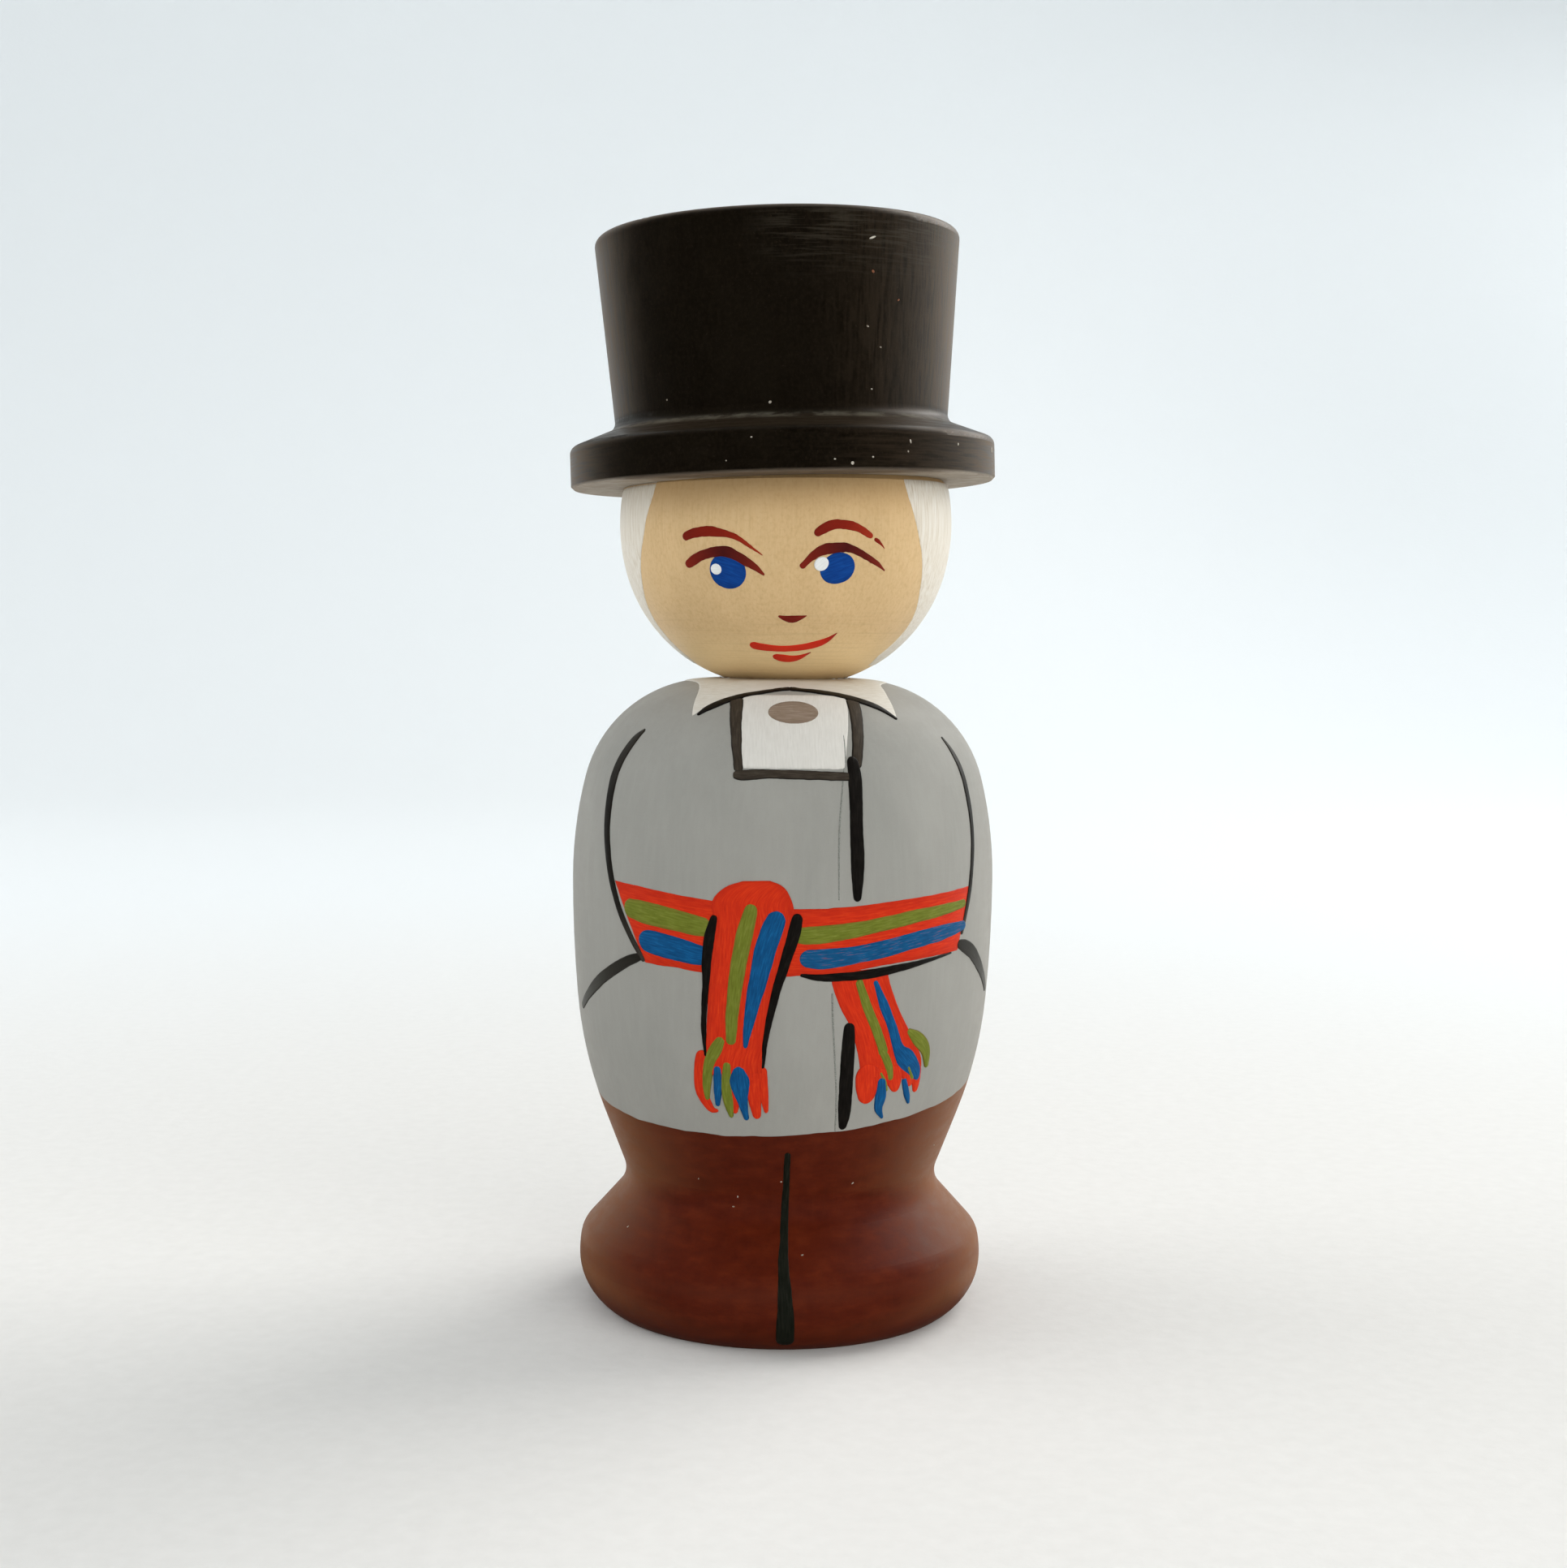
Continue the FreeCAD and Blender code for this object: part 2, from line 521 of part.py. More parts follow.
def make_hat():
    """Brim and flared crown in one piece, its origin on the head's flat top."""
    body = new_body("hat")
    out = Outline(body, "hat_outline")
    brim, bevel = size("brim_radius"), size("brim_underside_bevel")
    edge_h, edge_r = size("brim_edge_height"), size("brim_edge_round")
    base = (size("crown_base_radius"), size("crown_base_height"))
    cove_r, round_r = size("crown_base_cove"), size("crown_edge_round")
    crown, top = size("crown_top_radius"), size("hat_height")
    # the brim's upper face rises from the rounded edge to the crown, in line with both corners
    slope = math.hypot(base[0] - brim, base[1] - edge_h)
    slope = ((base[0] - brim) / slope, (base[1] - edge_h) / slope)
    edge_half = (math.pi - math.acos(-slope[1])) / 2
    edge_cut = edge_r / math.tan(edge_half)
    edge_c = (brim - edge_r, edge_h - edge_cut)
    side = math.hypot(crown - base[0], top - base[1])
    side = ((crown - base[0]) / side, (top - base[1]) / side)
    cove_half = (math.pi - math.acos(slope[0] * side[0] + slope[1] * side[1])) / 2
    cove_cut = cove_r / math.tan(cove_half)
    cove_in, cove_out = step(base, slope, -cove_cut), step(base, side, cove_cut)
    cove_c = step(cove_out, (side[1], -side[0]), cove_r)
    round_half = (math.pi - math.acos(-side[0])) / 2
    round_cut = round_r / math.tan(round_half)
    round_in = step((crown, top), side, -round_cut)
    round_c = (crown - round_cut, top - round_r)

    out.line("underside", (0, 0), (brim - bevel, 0))
    out.line("underside_bevel", (brim - bevel, 0), (brim, bevel))
    out.line("brim_side", (brim, bevel), (brim, edge_h - edge_cut))
    out.arc("brim_round", edge_c, edge_r, (brim, edge_h - edge_cut), step((brim, edge_h), slope, edge_cut))
    out.line("brim_top", step((brim, edge_h), slope, edge_cut), cove_in)
    out.arc("cove", cove_c, cove_r, cove_in, cove_out)
    out.line("crown_side", cove_out, round_in)
    out.arc("crown_round", round_c, round_r, round_in, (crown - round_cut, top))
    out.line("top", (crown - round_cut, top), (0, top))
    out.line("axis", (0, top), (0, 0))
    for first, second in (("underside", "underside_bevel"), ("underside_bevel", "brim_side")):
        out.join("Coincident", first, second)
    smooth = ["brim_side", "brim_round", "brim_top", "cove", "crown_side", "crown_round", "top"]
    for first, second in zip(smooth, smooth[1:]):
        out.join("Tangent", first, second)
    out.join("Coincident", "top", "axis")
    out.join("Coincident", "axis", "underside")
    out.hold("Horizontal", "underside", "top")
    out.hold("Vertical", "brim_side", "axis")
    out.sketch.addConstraint(Sketcher.Constraint("Coincident", out.edges["underside"], 1, -1, 1))
    out.across("underside", "end", brim - bevel, "sizes.brim_radius - sizes.brim_underside_bevel")
    out.across("brim_side", "start", brim, "sizes.brim_radius")
    out.up("brim_side", "start", bevel, "sizes.brim_underside_bevel")
    out.radius("brim_round", "brim_edge_round")
    out.radius("cove", "crown_base_cove")
    out.radius("crown_round", "crown_edge_round")
    out.up("top", "end", top, "sizes.hat_height")
    # where the straight stretches would meet if nothing were rounded
    corners = (
        ("brim_top", (brim, edge_h), "sizes.brim_radius", "sizes.brim_edge_height"),
        ("brim_top", base, "sizes.crown_base_radius", "sizes.crown_base_height"),
        ("crown_side", base, "sizes.crown_base_radius", "sizes.crown_base_height"),
        ("crown_side", (crown, top), "sizes.crown_top_radius", "sizes.hat_height"),
    )
    for number, (edge, corner, across_formula, up_formula) in enumerate(corners):
        mark = out.sketch.addGeometry(Part.Point(point(*corner)), True)
        out.edges[f"corner_{number}"] = mark
        out.across(f"corner_{number}", "start", corner[0], across_formula)
        out.up(f"corner_{number}", "start", corner[1], up_formula)
        out.sketch.addConstraint(Sketcher.Constraint("PointOnObject", mark, 1, out.edges[edge]))

    revolve(body, "Revolution", out, "turned_hat")
    drill_up(body, "dowel_hole", "hat_dowel", 0, "0")
    centre_mark(body, "top_centre", "hat", top, "sizes.hat_height", False)
    lean_on_seat(body)
    return body


def make_dowel(name, fluted_from, fluted_from_formula):
    """A chamfered dowel centred on its own origin, with glue flutes from that height down to its foot."""
    body = new_body(name)
    radius, length = size(name + "_radius"), size(name + "_length")
    disc = body.newObject("Sketcher::SketchObject", name + "_section")
    disc.AttachmentSupport = (origin_feature(body, "XY_Plane"), [""])
    disc.MapMode = "FlatFace"
    disc.AttachmentOffset = FreeCAD.Placement(FreeCAD.Vector(0, 0, -length / 2), FreeCAD.Rotation())
    disc.setExpression("AttachmentOffset.Base.z", f"-sizes.{name}_length / 2")
    circle = disc.addGeometry(Part.Circle(point(0, 0), FreeCAD.Vector(0, 0, 1), radius), False)
    disc.addConstraint(Sketcher.Constraint("Coincident", circle, 3, -1, 1))
    disc.addConstraint(Sketcher.Constraint("Radius", circle, radius))
    disc.setExpression("Constraints[1]", f"sizes.{name}_radius")
    rod = body.newObject("PartDesign::Pad", name + "_rod")
    rod.Profile = disc
    rod.Length = length
    rod.setExpression("Length", f"sizes.{name}_length")
    body.Tip = rod
    doc.recompute()

    bevel = body.newObject("PartDesign::Chamfer", name + "_ends")
    ends = [
        f"Edge{n}" for n, edge in enumerate(rod.Shape.Edges, start=1) if isinstance(edge.Curve, Part.Circle)
    ]
    bevel.Base = (rod, ends)
    bevel.setExpression("Size", "sizes.dowel_end_chamfer")
    body.Tip = bevel
    doc.recompute()

    flute = body.newObject("Sketcher::SketchObject", name + "_flute_section")
    flute.AttachmentSupport = (origin_feature(body, "XY_Plane"), [""])
    flute.MapMode = "FlatFace"
    flute.AttachmentOffset = FreeCAD.Placement(FreeCAD.Vector(0, 0, fluted_from), FreeCAD.Rotation())
    flute.setExpression("AttachmentOffset.Base.z", fluted_from_formula)
    notch_r = size("dowel_flute_radius")
    notch = flute.addGeometry(Part.Circle(point(radius, 0), FreeCAD.Vector(0, 0, 1), notch_r), False)
    flute.addConstraint(Sketcher.Constraint("PointOnObject", notch, 3, -1))
    flute.addConstraint(Sketcher.Constraint("DistanceX", -1, 1, notch, 3, radius))
    flute.addConstraint(Sketcher.Constraint("Radius", notch, notch_r))
    flute.setExpression("Constraints[1]", f"sizes.{name}_radius")
    flute.setExpression("Constraints[2]", "sizes.dowel_flute_radius")
    groove = body.newObject("PartDesign::Pocket", name + "_flute")
    groove.Profile = flute
    groove.Type = "ThroughAll"
    body.Tip = groove
    doc.recompute()
    if groove.Shape.Volume > bevel.Shape.Volume - 1e-6:
        raise RuntimeError(f"{name}: the glue flute cut nothing")
    ring = body.newObject("PartDesign::PolarPattern", name + "_flutes")
    ring.Originals = [groove]
    ring.Axis = (flute, ["N_Axis"])
    ring.Angle = 360
    ring.Occurrences = int(size("dowel_flute_count"))
    ring.setExpression("Occurrences", "sizes.dowel_flute_count")
    body.Tip = ring
    return body


def make_neck_dowel():
    """Glued into the body as far as the joint, and plain above it, where the head turns on it."""
    body = make_dowel("neck_dowel", -size("neck_rise"), "-sizes.neck_rise")
    body.Placement.Base = FreeCAD.Vector(0, 0, size("neck_height"))
    body.setExpression("Placement.Base.z", "sizes.neck_height")
    return body


def make_hat_dowel():
    """Glued into both the head and the hat, square to the leaning seat."""
    body = make_dowel("hat_dowel", size("hat_dowel_length") / 2, "sizes.hat_dowel_length / 2")
    lean_on_seat(body)
    return body


def save(pieces):
    """Checks every object and shape, then writes one STEP file for each piece."""
    doc.recompute()
    for obj in doc.Objects:
        if {"Invalid", "Error"} & set(obj.State):
            raise RuntimeError(f"{obj.Name} failed: {obj.State}")
    for piece in pieces:
        shape = piece.Shape
        if shape.isNull() or not shape.isValid() or len(shape.Solids) != 1 or shape.Volume <= 0:
            raise RuntimeError(f"{piece.Label} has no valid single solid")
    os.makedirs("parts", exist_ok=True)
    for piece in pieces:
        piece.Shape.exportStep(f"parts/{piece.Label}.step")
        box = piece.Shape.BoundBox
        print(f"{piece.Label}: {piece.Shape.Volume:.1f} mm3, z {box.ZMin:.2f} to {box.ZMax:.2f}")


save([make_body(), make_head(), make_hat(), make_neck_dowel(), make_hat_dowel()])
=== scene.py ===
import math
import random

import bmesh
import bpy
from mathutils import Matrix, Vector, noise


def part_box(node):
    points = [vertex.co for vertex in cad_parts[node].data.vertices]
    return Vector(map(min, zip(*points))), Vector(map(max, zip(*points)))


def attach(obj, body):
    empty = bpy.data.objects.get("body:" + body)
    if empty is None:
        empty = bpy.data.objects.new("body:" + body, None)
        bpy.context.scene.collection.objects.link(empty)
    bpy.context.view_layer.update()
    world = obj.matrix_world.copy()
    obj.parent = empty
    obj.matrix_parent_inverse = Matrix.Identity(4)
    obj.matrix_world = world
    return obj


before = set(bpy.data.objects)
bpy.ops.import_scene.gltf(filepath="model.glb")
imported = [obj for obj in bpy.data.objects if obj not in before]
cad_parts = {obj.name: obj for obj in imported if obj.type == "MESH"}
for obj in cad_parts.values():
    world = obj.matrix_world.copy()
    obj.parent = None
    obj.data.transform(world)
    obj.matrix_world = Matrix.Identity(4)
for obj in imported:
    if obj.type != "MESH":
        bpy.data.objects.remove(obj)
for leftover in ("Cube", "Light", "Camera"):
    if leftover in bpy.data.objects:
        bpy.data.objects.remove(bpy.data.objects[leftover])
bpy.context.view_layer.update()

# The figurine stands on z = 0 and looks towards -Y.  Places on a turned piece
# are given the way a decorator would measure them: "turn" in degrees round
# from the front, towards the figurine's left hand, and "down" in millimetres
# with a tape laid along the surface.

MM = 0.001
HAT_LEAN = math.radians(1.9)  # the hat is glued on askew
HAT_LOW, HAT_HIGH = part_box("hat_dowel")
HAT_CENTRE = (HAT_LOW + HAT_HIGH) / 2  # a point on the hat's own axis
EPS = 1e-6  # keeps a division away from zero
DEGREE = 0.38  # mm along a painted surface for one degree of turn, roughly
SUNK = 0.03  # mm that the rim of a film of paint dips below the wood
RIM = 0.14  # mm over which an area of paint rises from its rim
STROKE_RIM = 0.12  # the same for a brush stroke
CAP_STEPS = (0.02, 0.08, 0.18, 0.32, 0.5, 0.7, 0.85, 1.0)  # close together where a stroke's end is round
BACKING = 0.04  # mm of solid paint behind its outer face


class Turned:
    """The outside of a lathe-turned piece, read off its CAD node.

    Only vertices for which outside(radius, height) holds are kept, clear of
    bores, flats and hollows.  The tape starts at the height tape_zero, in mm.
    """

    def __init__(self, node, outside, tape_zero, place=Matrix.Identity(4)):
        rings = {}
        back = place.inverted()
        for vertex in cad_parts[node].data.vertices:
            x, y, z = (back @ vertex.co) / MM
            radius = math.hypot(x, y)
            if outside(radius, z):
                level = round(z, 2)
                rings[level] = max(radius, rings.get(level, 0.0))
        self.place = place
        self.levels = sorted(rings, reverse=True)
        self.radii = [rings[z] for z in self.levels]
        self.tape = [0.0]
        for k in range(1, len(self.levels)):
            step = math.hypot(self.levels[k] - self.levels[k - 1], self.radii[k] - self.radii[k - 1])
            self.tape.append(self.tape[-1] + step)
        zero = self.tape[min(range(len(self.levels)), key=lambda k: abs(self.levels[k] - tape_zero))]
        self.tape = [t - zero for t in self.tape]
        self.last = 0

    def slope(self, k):
        """Outward direction (radial, upward) of the span from ring k to ring k + 1."""
        rise = self.levels[k + 1] - self.levels[k]
        run = self.radii[k + 1] - self.radii[k]
        size = math.hypot(rise, run) or 1.0
        return -rise / size, run / size

    def span(self, down):
        k = self.last
        while k > 0 and down < self.tape[k]:
            k -= 1
        while k < len(self.tape) - 2 and down > self.tape[k + 1]:
            k += 1
        self.last = k
        share = (down - self.tape[k]) / max(self.tape[k + 1] - self.tape[k], EPS)
        return k, min(max(share, 0.0), 1.0)

    def radius(self, down):
        k, share = self.span(down)
        return self.radii[k] + share * (self.radii[k + 1] - self.radii[k])

    def spot(self, turn, down, lift=0.0):
        """The point, in metres, at that turn and tape reading, lifted off the surface by lift mm."""
        k, share = self.span(down)
        level = self.levels[k] + share * (self.levels[k + 1] - self.levels[k])
        radius = self.radii[k] + share * (self.radii[k + 1] - self.radii[k])
        blend = abs(share - 0.5)
        here = self.slope(k)
        next_span = k - 1 if share < 0.5 else k + 1
        beside = self.slope(min(max(next_span, 0), len(self.levels) - 2))
        out = [(1 - blend) * a + blend * b for a, b in zip(here, beside)]
        size = math.hypot(*out) or 1.0
        radius += lift * out[0] / size
        level += lift * out[1] / size
        angle = math.radians(turn)
        local = Vector((radius * math.sin(angle), -radius * math.cos(angle), level)) * MM
        return self.place @ local


HAT_PLACE = Matrix.Translation(HAT_CENTRE) @ Matrix.Rotation(-HAT_LEAN, 4, "Y")
# radii and heights that only the painted outside has, and the top edge that the tape starts from, mm
BODY = Turned("body", lambda r, z: r > (18.5 if z < 1 else 6.4), 68.5)
HEAD = Turned("head", lambda r, z: r > 6.9 and z > 68.6, 88.2)
CROWN = Turned("hat", lambda r, z: r > 17 and 6.4 < z < 26.6, 26.5, HAT_PLACE)
BRIM = Turned("hat", lambda r, z: r > 21.9 and 0.1 < z < 4.4, 4.3, HAT_PLACE)
RIDES = {BODY: "figure", HEAD: "head_and_hat", CROWN: "head_and_hat", BRIM: "head_and_hat"}

# ---- Laying paint ----


def curve(a, b, c, d, t):
    """The value at share t of the way from b to c, on a smooth curve through all four."""
    square, cube = 2 * a - 5 * b + 4 * c - d, 3 * b - a - 3 * c + d
    return 0.5 * (2 * b + (c - a) * t + square * t * t + cube * t**3)


def flowing(points, step):
    """Points about step mm apart on a smooth line through the given ones.

    A point given twice in a row is a sharp corner.  The first two numbers of
    a point are its turn and its tape reading; any others flow along with them.
    """
    legs, leg = [], [points[0]]
    for point in points[1:]:
        if point == leg[-1]:
            legs.append(leg)
            leg = [point]
        else:
            leg.append(point)
    legs.append(leg)
    line = []
    for leg in legs:
        if len(leg) < 2:
            continue
        before = tuple(2 * a - b for a, b in zip(leg[0], leg[1]))
        after = tuple(2 * a - b for a, b in zip(leg[-1], leg[-2]))
        chain = [before, *leg, after]
        for k in range(1, len(chain) - 2):
            p0, p1, p2, p3 = chain[k - 1 : k + 3]
            size = math.hypot((p2[0] - p1[0]) * DEGREE, p2[1] - p1[1])
            if len(p1) > 3:
                size = max(size, math.hypot((p2[2] - p1[2]) * DEGREE, p2[3] - p1[3]))
            count = max(2, round(size / step))
            for i in range(count):
                line.append(tuple(curve(*values, i / count) for values in zip(p0, p1, p2, p3)))
    line.append(tuple(points[-1]))
    return line


def rounded(share):
    """0 at the rim of a film of paint, 1 inside, with a soft shoulder."""
    share = min(max(share, 0.0), 1.0)
    return math.sqrt(1 - (1 - share) ** 2)


def film_height(lift, to_rim, rim):
    """Height over the wood, in mm, at that distance from the rim of a film of paint."""
    return -SUNK + (lift + SUNK) * rounded(to_rim / rim)


def ragged(seed, along, side, amount):
    """How far a brush strays at that distance along its stroke, in mm."""
    if not amount:
        return 0.0
    coarse = noise.noise(Vector((along * 0.55, side * 9.7, seed * 3.1)))
    fine = noise.noise(Vector((along * 2.3, side * 5.3, seed * 7.7)))
    return amount * (coarse + 0.5 * fine)


def across_steps(width, rim, most):
    """Shares across a film, close together at its two rims."""
    if width < 5 * rim:
        count = 8
        return [0.5 - 0.5 * math.cos(math.pi * k / count) for k in range(count + 1)]
    edge = rim / width
    count = max(2, round((width - 2 * rim) / most))
    middle = [edge + (1 - 2 * edge) * k / count for k in range(count + 1)]
    return [0.0, 0.3 * edge, 0.65 * edge, *middle, 1 - 0.65 * edge, 1 - 0.3 * edge, 1.0]


FILMS = []


class Film:
    """One coat of one paint, thick mm thick: any number of strokes and patches on one turned piece."""

    def __init__(self, name, wood, finish, slot, thick, raggedness=0.04):
        FILMS.append(self)
        self.name, self.wood, self.finish, self.slot = name, wood, finish, slot
        self.thick, self.raggedness = thick, raggedness
        self.mesh = bmesh.new()
        self.brush = self.mesh.loops.layers.uv.new("brush")
        self.share = self.mesh.loops.layers.uv.new("share")
        self.count = 0

    def sheet(self, columns, rows, place):
        """A grid whose point (i, j) goes to place(i, j) -> (point, along mm, across mm, share, share)."""
        made = bmesh.ops.create_grid(self.mesh, x_segments=columns, y_segments=rows, size=1.0)
        facts = {}
        for vertex in made["verts"]:
            i = round((vertex.co.x + 1) / 2 * columns)
            j = round((vertex.co.y + 1) / 2 * rows)
            point, *rest = place(i, j)
            vertex.co = point
            facts[vertex] = rest
        for face in {f for v in made["verts"] for f in v.link_faces}:
            for loop in face.loops:
                along, across, u, v = facts[loop.vert]
                loop[self.brush].uv = (along / 10, across / 10)
                loop[self.share].uv = (u, v)
        self.count += 1

    def stroke(self, line, cap=None, lift=None, raggedness=None, step=0.3):
        """A brush stroke along line, a list of (turn, down, width)."""
        lift = self.thick if lift is None else lift
        uneven = self.raggedness if raggedness is None else raggedness
        seed = self.count + sum(ord(c) for c in self.name) * 0.13
        wood = self.wood
        path = flowing(line, step)
        along = [0.0]
        for a, b in zip(path, path[1:]):
            around = math.radians(b[0] - a[0]) * wood.radius((a[1] + b[1]) / 2)
            along.append(along[-1] + math.hypot(around, b[1] - a[1]))
        length = along[-1]
        start_cap = cap or path[0][2] / 2
        end_cap = cap or path[-1][2] / 2
        marks = {0.0, length}
        for size, origin, way in ((start_cap, 0.0, 1), (end_cap, length, -1)):
            for share in CAP_STEPS:
                marks.add(origin + way * min(size * share, length / 2))
        count = max(3, round(length / step))
        even = [length * k / count for k in range(count + 1)]
        marks.update(mark for mark in even if start_cap < mark < length - end_cap)
        stations = []
        k = 0
        for mark in sorted(marks):
            while k < len(along) - 2 and along[k + 1] < mark:
                k += 1
            t = (mark - along[k]) / max(along[k + 1] - along[k], EPS)
            here = [a + t * (b - a) for a, b in zip(path[k], path[k + 1])]
            radius = wood.radius(here[1])
            ahead = path[min(k + 2, len(path) - 1)]
            behind = path[max(k - 1, 0)]
            go_turn = math.radians(ahead[0] - behind[0]) * radius
            go_down = ahead[1] - behind[1]
            size = math.hypot(go_turn, go_down) or 1.0
            start = rounded(mark / max(start_cap, EPS))
            end = rounded((length - mark) / max(end_cap, EPS))
            half = here[2] / 2 * max(min(start, end), 0.03)
            stations.append((here[0], here[1], radius, go_turn / size, go_down / size, half, mark))
        widest = max(p[2] for p in line)
        shares = across_steps(widest, RIM, 0.5)
        rim = min(STROKE_RIM, widest * 0.3)

        def place(i, j):
            turn, down, radius, go_turn, go_down, half, mark = stations[i]
            v = 2 * shares[j] - 1
            side = half + ragged(seed, mark, 1 if v > 0 else -1, uneven) * min(1.0, half / 0.2)
            offset = v * max(side, 0.01)
            to_rim = min((1 - abs(v)) * half, mark + 0.01, length - mark + 0.01)
            height = film_height(lift, to_rim, rim)
            aside = math.degrees(-go_down * offset / radius)
            point = wood.spot(turn + aside, down + go_turn * offset, height)
            return point, mark, offset, mark / length, shares[j]

        self.sheet(len(stations) - 1, len(shares) - 1, place)

    def strokes(self, *lines, **how):
        """Several strokes, laid one after another in the same way."""
        for line in lines:
            self.stroke(line, **how)

    def patch(self, rungs, lift=None, step=0.6, bend=None):
        """A painted area between two edges, given as rungs (turn, down, turn, down) between them."""
        lift = self.thick if lift is None else lift
        seed = self.count + sum(ord(c) for c in self.name) * 0.17
        wood = self.wood
        ladder = flowing(rungs, step)
        spans, along = [], [0.0]
        for k, (t0, d0, t1, d1) in enumerate(ladder):
            spans.append(math.hypot(math.radians(t1 - t0) * wood.radius((d0 + d1) / 2), d1 - d0))
            if k:
                b0, c0, b1, c1 = ladder[k - 1]
                mid = math.radians((t0 + t1 - b0 - b1) / 2) * wood.radius((d0 + d1) / 2)
                along.append(along[-1] + max(math.hypot(mid, (d0 + d1 - c0 - c1) / 2), 0.01))
        length = along[-1]
        shares = across_steps(max(spans), RIM, step)
        closed = math.isclose(abs(ladder[0][0] - ladder[-1][0]), 360, abs_tol=0.01)

        def place(i, j):
            t0, d0, t1, d1 = ladder[i]
            span, v = max(spans[i], EPS), shares[j]
            stray = ragged(seed, along[i], 1 if v > 0.5 else -1, self.raggedness)
            v_here = v + stray * (2 * v - 1) / span if abs(2 * v - 1) > 0.5 else v
            turn, down = t0 + v_here * (t1 - t0), d0 + v_here * (d1 - d0)
            if bend:
                down = bend(turn, down)
            to_rim = min(v, 1 - v) * span
            if not closed:
                to_rim = min(to_rim, along[i], length - along[i])
            height = film_height(lift, to_rim, RIM)
            return wood.spot(turn, down, height), along[i], v * span, along[i] / length, v

        self.sheet(len(ladder) - 1, len(shares) - 1, place)

    def dab(self, turn, down, wide, high, lean=0.0, lift=None, raggedness=0.0):
        """A round or oval dab, wide along its lean and high across it, in mm."""
        reach = math.degrees(wide / 2 / self.wood.radius(down))
        rise = wide / 2 * math.sin(math.radians(lean))
        reach *= math.cos(math.radians(lean))
        ends = [(turn - reach, down + rise, high), (turn, down, high), (turn + reach, down - rise, high)]
        self.stroke(ends, cap=wide / 2, lift=lift, raggedness=raggedness, step=max(0.08, wide / 24))

    def done(self):
        bmesh.ops.remove_doubles(self.mesh, verts=self.mesh.verts, dist=2e-7)
        data = bpy.data.meshes.new(self.name)
        for face in self.mesh.faces:
            face.smooth = True
        bmesh.ops.recalc_face_normals(self.mesh, faces=self.mesh.faces)
        self.outward()
        self.mesh.to_mesh(data)
        self.mesh.free()
        data.materials.append(self.finish)
        piece = bpy.data.objects.new(self.name, data)
        bpy.context.scene.collection.objects.link(piece)
        body = piece.modifiers.new("paint thickness", "SOLIDIFY")
        body.thickness = BACKING * MM
        body.offset = -1.0
        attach(piece, RIDES[self.wood])

    def outward(self):
        """Turns any island of faces that looks into the wood the right way out."""
        middle = self.wood.place @ Vector((0, 0, 0))
        axis = (self.wood.place.to_3x3() @ Vector((0, 0, 1))).normalized()
        wrong = []
        for face in self.mesh.faces:
            arm = face.calc_center_median() - middle
            radial = arm - axis * arm.dot(axis)
            if face.normal.dot(radial.normalized() + axis * 0.02) < -0.2:
                wrong.append(face)
        bmesh.ops.reverse_faces(self.mesh, faces=wrong)


# ---- Finishes ----


